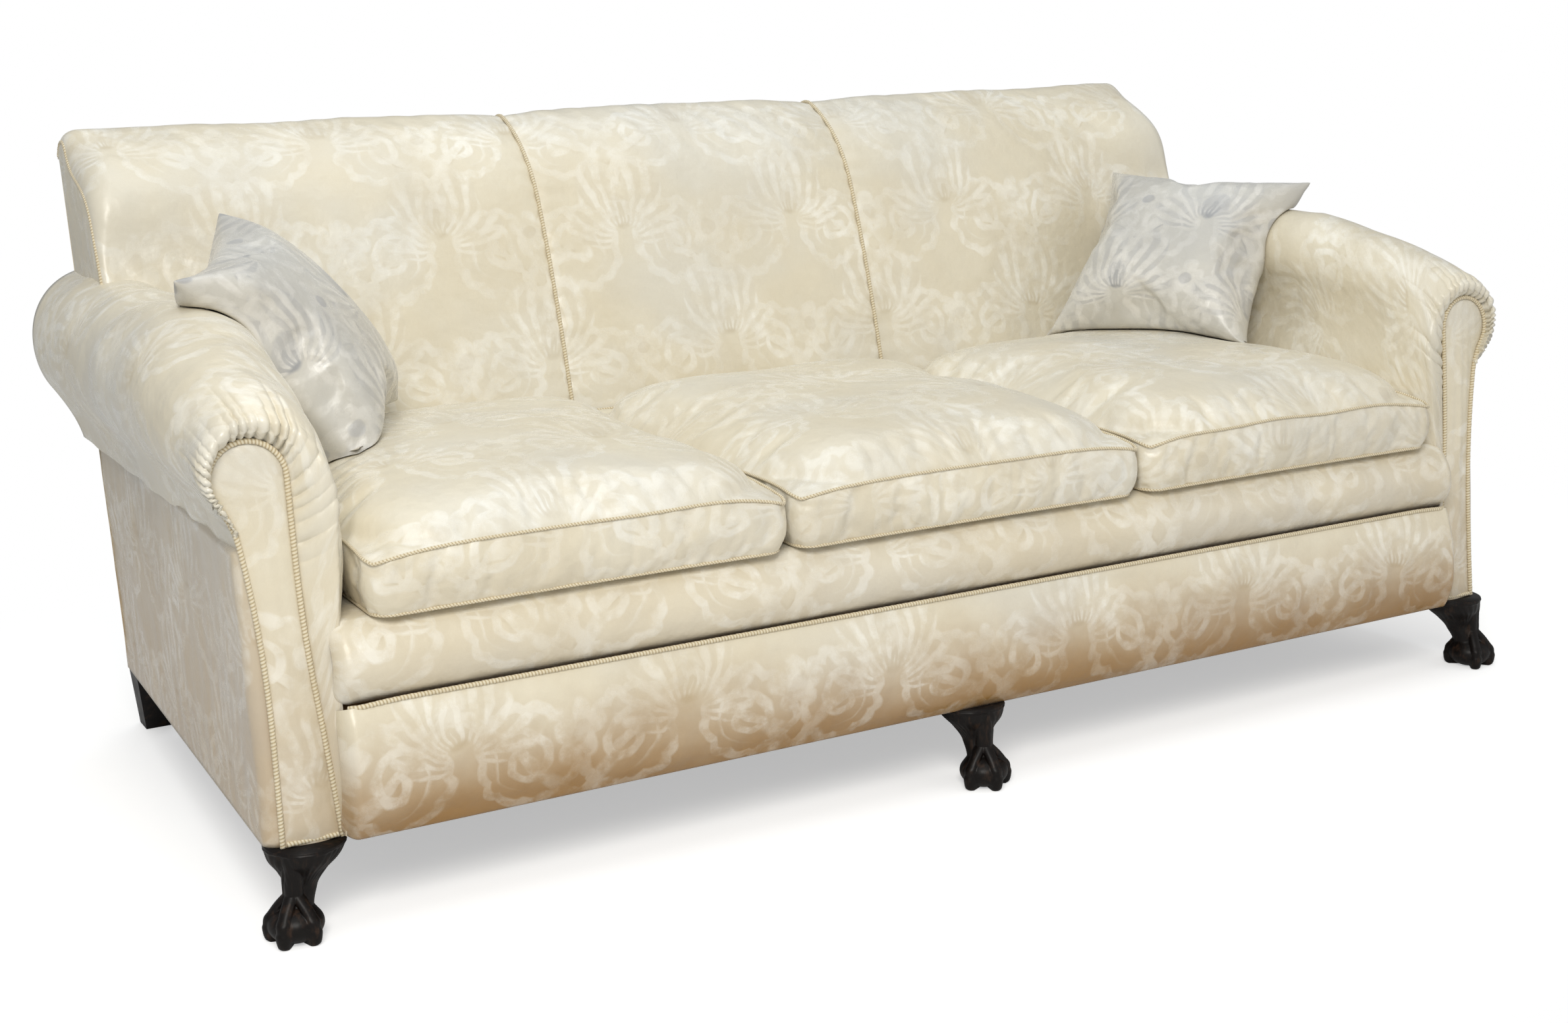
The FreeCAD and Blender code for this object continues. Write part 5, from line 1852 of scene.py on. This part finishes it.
@dataclass
class ScatterCushion:
    """A loose knife-edged pillow leaning in a corner, its sides drawn in by pinch."""

    name: str
    finishes: Finishes
    centre: Triple
    across: Triple
    upward: Triple
    seed: int
    size: float = 0.385
    thick: float = 0.115
    pinch: float = 0.055
    clear: float = 0.002
    bag_share: Triple = (0.965, 0.965, 0.86)
    bag_clear: float = 0.006
    count: int = 66

    def axes(self) -> tuple[Array, Array, Array]:
        """Unit directions across, up and out of the pillow's face.

        Returns:
            The three directions.
        """
        e1 = np.array(self.across) / np.linalg.norm(self.across)
        e2 = np.array(self.upward) - e1 * np.dot(self.upward, e1)
        e2 /= np.linalg.norm(e2)
        return e1, e2, np.cross(e1, e2)

    def pillow(self) -> Piece:
        """Two square cloths sewn at the rim and blown up, lying flat about the origin.

        Returns:
            The pillow, not dressed yet.
        """
        n, half = self.count, self.size / 2
        run = np.linspace(-1.0, 1.0, n)
        a, b = np.meshgrid(run, run, indexing="ij")
        x = a * (1 - self.pinch * (1 - b ** 2) * np.abs(a) ** 2) * half
        y = b * (1 - self.pinch * (1 - a ** 2) * np.abs(b) ** 2) * half
        high = self.thick / 2 * np.clip((1 - a ** 2) * (1 - b ** 2), 0, 1) ** 0.55
        top, low = coords(x, y, high), coords(x, y, -high)
        index = np.arange(n * n).reshape(n, n)
        inner = np.zeros((n, n), bool)
        inner[1:-1, 1:-1] = True
        below = np.where(inner, np.cumsum(inner.ravel()).reshape(n, n) - 1 + n * n, index)
        corners = np.concatenate([quads(index), quads(below)[:, ::-1]])
        uv = quad_values(coords(a * half + 0.05, b * half + 0.04 * self.seed))
        places = np.concatenate([top.reshape(-1, 3), low[inner]])
        piece = make_piece("%s_cloth" % self.name, places, corners, np.concatenate([uv, uv[:, ::-1]]))
        inflate(piece, 6.0, np.array([]), 0.030, 0.02, frames=24)
        return piece

    def build(self, walls: Sequence[Piece]) -> Piece:
        """The pillow and its filling's bag, put in place and pressed against the pieces that they lean on.

        Args:
            walls: the pieces.

        Returns:
            The dressed piece.
        """
        piece = self.pillow()
        e1, e2, face = self.axes()
        local = vertex_places(piece)
        bag = filling_bag(piece, self.finishes, self.name)
        whole = (1.0, 1.0, 1.0)
        for made, shares, clear in ((piece, whole, self.clear), (bag, self.bag_share, self.bag_clear)):
            at = local * np.array(shares)
            set_places(made, np.array(self.centre) + at[:, :1] * e1 + at[:, 1:2] * e2 + at[:, 2:] * face)
            for wall in walls:
                self.press(made, wall, clear)
        rounded(piece)
        self.finishes.dress(piece, "lilac_damask", self.name + "_cover", self.name)
        return piece

    def press(self, piece: Piece, wall: Piece, clear: float) -> None:
        """Moves every point that lies behind a wall's face in front of it, softly and then exactly.

        Args:
            piece: the pillow or its bag.
            wall: what it leans on.
            clear: how far in front of the wall it stays.
        """
        mesh = wall.data
        tree = BVHTree.FromPolygons([v.co for v in mesh.vertices], [p.vertices for p in mesh.polygons])
        co = vertex_places(piece)
        for rounds in (14, 0):
            found = [tree.find_nearest(Vector(p), 0.25) for p in co]
            hit = np.array([f[0] is not None for f in found])
            near = np.array([f[0] if f[0] is not None else (0, 0, 0) for f in found])
            out = np.array([f[1] if f[1] is not None else (0, 0, 1) for f in found])
            depth = np.einsum("ij,ij->i", co - near, out)
            push = np.where(hit & (depth < clear), clear - depth, 0.0)[:, None]
            co = co + self.soften(piece, out * push, rounds)
        set_places(piece, co)

    @staticmethod
    def soften(piece: Piece, move: Array, rounds: int) -> Array:
        """Spreads each point's move to its neighbours, so that a dent has a soft rim.

        Args:
            piece: the piece.
            move: each vertex's move (n, 3).
            rounds: how many times they are shared out.

        Returns:
            The softened moves.
        """
        ends = np.empty(len(piece.data.edges) * 2, np.int32)
        piece.data.edges.foreach_get("vertices", ends)
        a, b = ends.reshape(-1, 2).T
        count = len(move)
        met = np.bincount(np.concatenate([a, b]), minlength=count)[:, None]
        for _ in range(rounds):
            near = [np.bincount(a, move[b, k], count) + np.bincount(b, move[a, k], count) for k in range(3)]
            move = 0.4 * move + 0.6 * np.stack(near, -1) / met
        return move


@dataclass
class FrontLeg:
    """A short cabriole leg with a carved knee and a claw gripping a ball.

    The stops are (share of the height, the axis's kick, the radius), the last two as shares of kick and
    top_r. The toe stops are (height, distance out from the ball's middle, the toe's radius) in metres.
    """

    name: str
    x: float
    y: float
    turn: float
    finishes: Finishes
    top: float = BASE_Z - LEVEL_GAP
    top_r: float = 0.040
    kick: float = 0.036
    ball_r: float = 0.033
    ball_high: float = 0.044
    stops: tuple = ((0.20, 0.97, 0.62), (0.31, 0.88, 0.50), (0.43, 0.70, 0.46), (0.54, 0.50, 0.47),
                    (0.70, 0.32, 0.68), (0.86, 0.16, 1.05), (1.0, 0.03, 1.20))
    toe_turns: tuple = (0.0, 72.0, -72.0, 180.0)
    toe_stops: tuple = ((0.0, 0.0270, 0.0062), (0.003, 0.0292, 0.0074), (0.010, 0.0302, 0.0084),
                        (0.016, 0.0302, 0.0090), (0.022, 0.0300, 0.0078), (0.029, 0.0275, 0.0088),
                        (0.036, 0.0228, 0.0080), (0.045, 0.0160, 0.0080), (0.057, 0.0050, 0.0078))

    @staticmethod
    def outer(axis: Array, phi: Array, centre: Numbers, aside: Numbers,
              radius: Array) -> Array:
        """How far each ray from the axis goes before it leaves a circle.

        Args:
            axis: where the rays start, by height.
            phi: the rays' directions.
            centre: the circle's centre along the leg's own X.
            aside: the circle's centre along its Y.
            radius: the circle's radius.

        Returns:
            The distances (heights, directions).
        """
        off = centre - axis
        near = off * np.cos(phi) + aside * np.sin(phi)
        cross = off * np.sin(phi) - aside * np.cos(phi)
        root = radius ** 2 - cross ** 2
        return np.where((root > 0) & (radius > 1e-4), near + np.sqrt(np.maximum(root, 0.0)), 0.0)

    def rings(self, rise: Array, phi: Array) -> tuple[Array, Array]:
        """Each height's axis, which moves out from the knee to the ball, and its radius in each direction.

        The radius is the outer of the leg's circle and the ball's circle seen from the axis, plus four toes
        (rounded ridges with knuckles that run down the ball to claws) and carved leaves on the knee.

        Args:
            rise: the heights (n, 1).
            phi: the directions (1, m).

        Returns:
            The axis (n, 1) and the radius (n, m).
        """
        table = smooth_columns(self.stops, rise[:, 0] / self.top)
        leg_x, leg_r = table[:, :1] * self.kick, table[:, 1:2] * self.top_r
        leg_r = np.where(rise < 0.2 * self.top, 0.0, leg_r)
        level = 2 * (rise + 0.0015) / self.ball_high - 1
        ball = self.ball_r * np.sqrt(np.maximum(1 - level ** 2, 0.0))
        axis = self.kick + (leg_x - self.kick) * ease(rise, 0.026, 0.060)
        leg, globe = self.outer(axis, phi, leg_x, 0.0, leg_r), self.outer(axis, phi, self.kick, 0.0, ball)
        r = np.maximum(np.maximum(leg, globe), 0.004) + 0.0018 * np.exp(-((leg - globe) / 0.0035) ** 2)
        toe = smooth_columns(self.toe_stops, rise[:, 0])
        for way in map(math.radians, self.toe_turns):
            toe_x, toe_y = self.kick + toe[:, :1] * math.cos(way), toe[:, :1] * math.sin(way)
            r = np.maximum(r, self.outer(axis, phi, toe_x, toe_y, toe[:, 1:]))
        knee = ease(rise, 0.062, 0.080) * (1 - ease(rise, 0.1045, 0.1085))
        leaf = np.abs(np.sin(phi * 2 + 0.3 + 8 * (rise - 0.09))) ** 0.6
        vein = np.sin(phi * 30 + (rise - 0.09) * 300 * np.cos(phi * 2.5)) * 0.35
        collar = 0.0012 * np.exp(-((rise - 0.1065) / 0.0016) ** 2)
        return axis, r + knee * (0.0032 * leaf + 0.0010 * vein - 0.0022) + collar

    def build(self) -> Piece:
        """The leg as rings closed at both ends, turned to face its corner.

        Returns:
            The dressed piece.
        """
        rise = np.concatenate([np.linspace(0.0, 0.066, 92), np.linspace(0.066, self.top, 62)[1:]])[:, None]
        phi = np.linspace(0.0, 2 * math.pi, 160, endpoint=False)[None]
        axis, r = self.rings(rise, phi)
        grid = coords(axis + r * np.cos(phi), r * np.sin(phi), rise)
        low, high = (np.broadcast_to(ring.mean(0), ring.shape)[None] for ring in (grid[0], grid[-1]))
        grid = np.concatenate([low, grid, high])
        c, s = math.cos(math.radians(self.turn)), math.sin(math.radians(self.turn))
        x = self.x + grid[..., 0] * c - grid[..., 1] * s
        y = self.y + grid[..., 0] * s + grid[..., 1] * c
        rows = np.linspace(0.0, self.top, len(grid))
        uv = coords(np.linspace(0, 0.2, 161)[None], rows[:, None])
        patch = Patch(coords(x, y, grid[..., 2]), uv, turned=True, round_columns=True)
        piece = patch_piece(self.name + "_carved", [patch])
        return self.finishes.dress(outward(piece), "ebonised_wood", self.name)


@dataclass
class Studio:
    """Pale floor, white surroundings, soft lights and the camera."""

    camera_place: Triple = (-1.5501, -2.6861, 1.0317)
    yaw: float = 29.3634
    pitch: float = 13.4391
    roll: float = -1.2629
    lens: float = 47.9538

    def build(self) -> None:
        """Makes the whole studio."""
        scene = bpy.context.scene
        scene.view_settings.view_transform = "Standard"
        self.camera(scene)
        self.floor()
        self.world(scene)
        self.lamp("key", (-1.9, -3.1, 3.0), (0.0, -0.1, 0.45), 1.7, 107.0, (1.0, 0.975, 0.925))
        self.lamp("fill", (3.2, -3.2, 1.6), (0.1, -0.1, 0.40), 3.0, 20.0, (1.0, 0.96, 0.90))
        self.lamp("sky", (0.0, 0.2, 3.6), (0.0, 0.0, 0.3), 3.6, 46.0, (0.89, 0.95, 1.0))

    def camera(self, scene: bpy.types.Scene) -> None:
        """The camera, from its place and three angles.

        Args:
            scene: the scene that it is put in.
        """
        yaw, pitch, roll = (math.radians(a) for a in (self.yaw, self.pitch, self.roll))
        ahead = np.array([math.sin(yaw) * math.cos(pitch), math.cos(yaw) * math.cos(pitch), -math.sin(pitch)])
        right = np.array([math.cos(yaw), -math.sin(yaw), 0.0])
        up = np.cross(right, ahead)
        c, s = math.cos(roll), math.sin(roll)
        right, up = right * c + up * s, -right * s + up * c
        data = bpy.data.cameras.new("camera")
        data.sensor_width, data.lens = 36.0, self.lens
        data.clip_start, data.clip_end = 0.1, 100.0
        made = shown(bpy.data.objects.new("camera", data))
        turn = Matrix([[right[i], up[i], -ahead[i]] for i in range(3)]).to_4x4()
        made.matrix_world = Matrix.Translation(self.camera_place) @ turn
        scene.camera = made

    def floor(self) -> None:
        """A wide pale floor that keeps the sofa's shadow and turns white for the camera."""
        side = np.linspace(-14.0, 14.0, 3)
        x, y = np.meshgrid(side, side, indexing="ij")
        grid = coords(x, y, 0.0)
        piece = grid_piece("studio_floor", grid, grid[..., :2])
        material = bpy.data.materials.new("studio_floor")
        kit = emptied(material)
        base = kit.node("BsdfDiffuse", None, {"Color": (0.80, 0.80, 0.80, 1.0)})
        glow = kit.node("Emission", None, {"Color": WHITE, "Strength": 0.46})
        white = kit.node("Emission", None, {"Color": WHITE, "Strength": 1.0})
        both = kit.node("AddShader", None, {0: base.outputs[0], 1: glow.outputs[0]})
        _, x, y, _ = kit.object_place()
        away = (x * 0.62).hypot(y).ramp(0.75, 1.35)
        faded = kit.node("MixShader", None, {0: away, 1: both.outputs[0], 2: white.outputs[0]})
        seen = kit.sock("LightPath", "Is Camera Ray")
        mixed = kit.node("MixShader", None, {0: seen, 1: base.outputs[0], 2: faded.outputs[0]})
        kit.node("OutputMaterial", None, {0: mixed.outputs[0]})
        piece.data.materials.append(material)

    def world(self, scene: bpy.types.Scene) -> None:
        """White for the camera and in reflections, and a soft grey light on the sofa.

        Args:
            scene: the scene that gets it.
        """
        world = bpy.data.worlds.new("studio")
        kit = emptied(world)
        path = kit.node("LightPath")
        seen = Sock(kit, path.outputs["Is Camera Ray"]).max(Sock(kit, path.outputs["Is Transmission Ray"]))
        soft = kit.node("Background", None, {"Color": (0.96, 0.98, 1.0, 1.0), "Strength": 0.36})
        white = kit.node("Background", None, {"Color": WHITE, "Strength": 1.0})
        mixed = kit.node("MixShader", None, {0: seen, 1: soft.outputs[0], 2: white.outputs[0]})
        kit.node("OutputWorld", None, {0: mixed.outputs[0]})
        scene.world = world

    def lamp(self, name: str, place: tuple, target: tuple, size: float, power: float, colour: tuple) -> None:
        """A square soft light aimed at a point.

        Args:
            name: the light's name.
            place: where it hangs.
            target: where it points.
            size: its side.
            power: its watts.
            colour: its colour.
        """
        data = bpy.data.lights.new(name, "AREA")
        data.size, data.energy, data.color = size, power, colour
        made = shown(bpy.data.objects.new(name, data))
        made.location = place
        made.rotation_euler = (Vector(target) - Vector(place)).to_track_quat("-Z", "Y").to_euler()


def dress_nodes(finishes: Finishes) -> None:
    """Gives every node that is still shown its record slot's finish.

    Args:
        finishes: the sofa's finishes.
    """
    slots = {part["node"]: part["material_slot"] for part in frame["record"]["subparts"]}
    for name, node in frame["nodes"].items():
        material = finishes.by_slot[slots[name]]
        node.data.materials.clear()
        node.data.materials.append(material)


def main() -> None:
    """Builds the sofa's dressed pieces in order."""
    logging.basicConfig(level=logging.INFO, format="%(message)s")
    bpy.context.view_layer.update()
    Studio().build()
    finishes = Finishes()
    dress_nodes(finishes)
    front = Front(finishes)
    front.border()
    front.lip()
    front.cord()
    front.deck()
    back = Back(finishes)
    seams = (-back.half, -SEAM_X, SEAM_X, back.half)
    labels = ("left", "centre", "right")
    panels = {label: back.panel(label, *seams[i:i + 2]) for i, label in enumerate(labels)}
    back.stuffing()
    back.ends()
    back.cords()
    back.outside()
    covers, runs = {}, []
    for side, outer_x in ((-1.0, 1.028), (1.0, 1.016)):
        arm = Arm(side, finishes, outer_x)
        covers[arm.label] = arm.cover()
        arm.facing()
        arm.outside()
        runs += arm.welt_runs()
    welts = tube_piece("arm_welts_twist", runs, WELT_R, (0.0, 1.0, 0.0), CORD_TWIST)
    finishes.dress(welts, "cord", "arm_welts")
    seats = {}
    for i, (label, x) in enumerate(zip(labels, (-0.563, 0.0, 0.563))):
        cushion = SeatCushion("seat_cushion_" + label, x, finishes, 101 + i)
        seats[label] = cushion.cover()
        cushion.piping()
    for label, centre, across, upward, seed in (
            ("right", (0.760, 0.051, 0.609), (0.436, -0.897, -0.025), (0.617, 0.281, 0.736), 1),
            ("left", (-0.760, 0.040, 0.614), (0.412, 0.900, 0.138), (-0.608, 0.159, 0.778), 2)):
        pillow = ScatterCushion("scatter_cushion_" + label, finishes, centre, across, upward, seed)
        pillow.build([panels[label], covers[label], seats[label]])
    for label, x, y, turn in (("right", 0.92654, -0.42574, -45.0), ("left", -0.92654, -0.42574, -135.0),
                              ("centre", 0.0, -0.4352, -90.0)):
        FrontLeg("front_leg_" + label, x, y, turn, finishes).build()


if __name__ == "__main__":
    main()
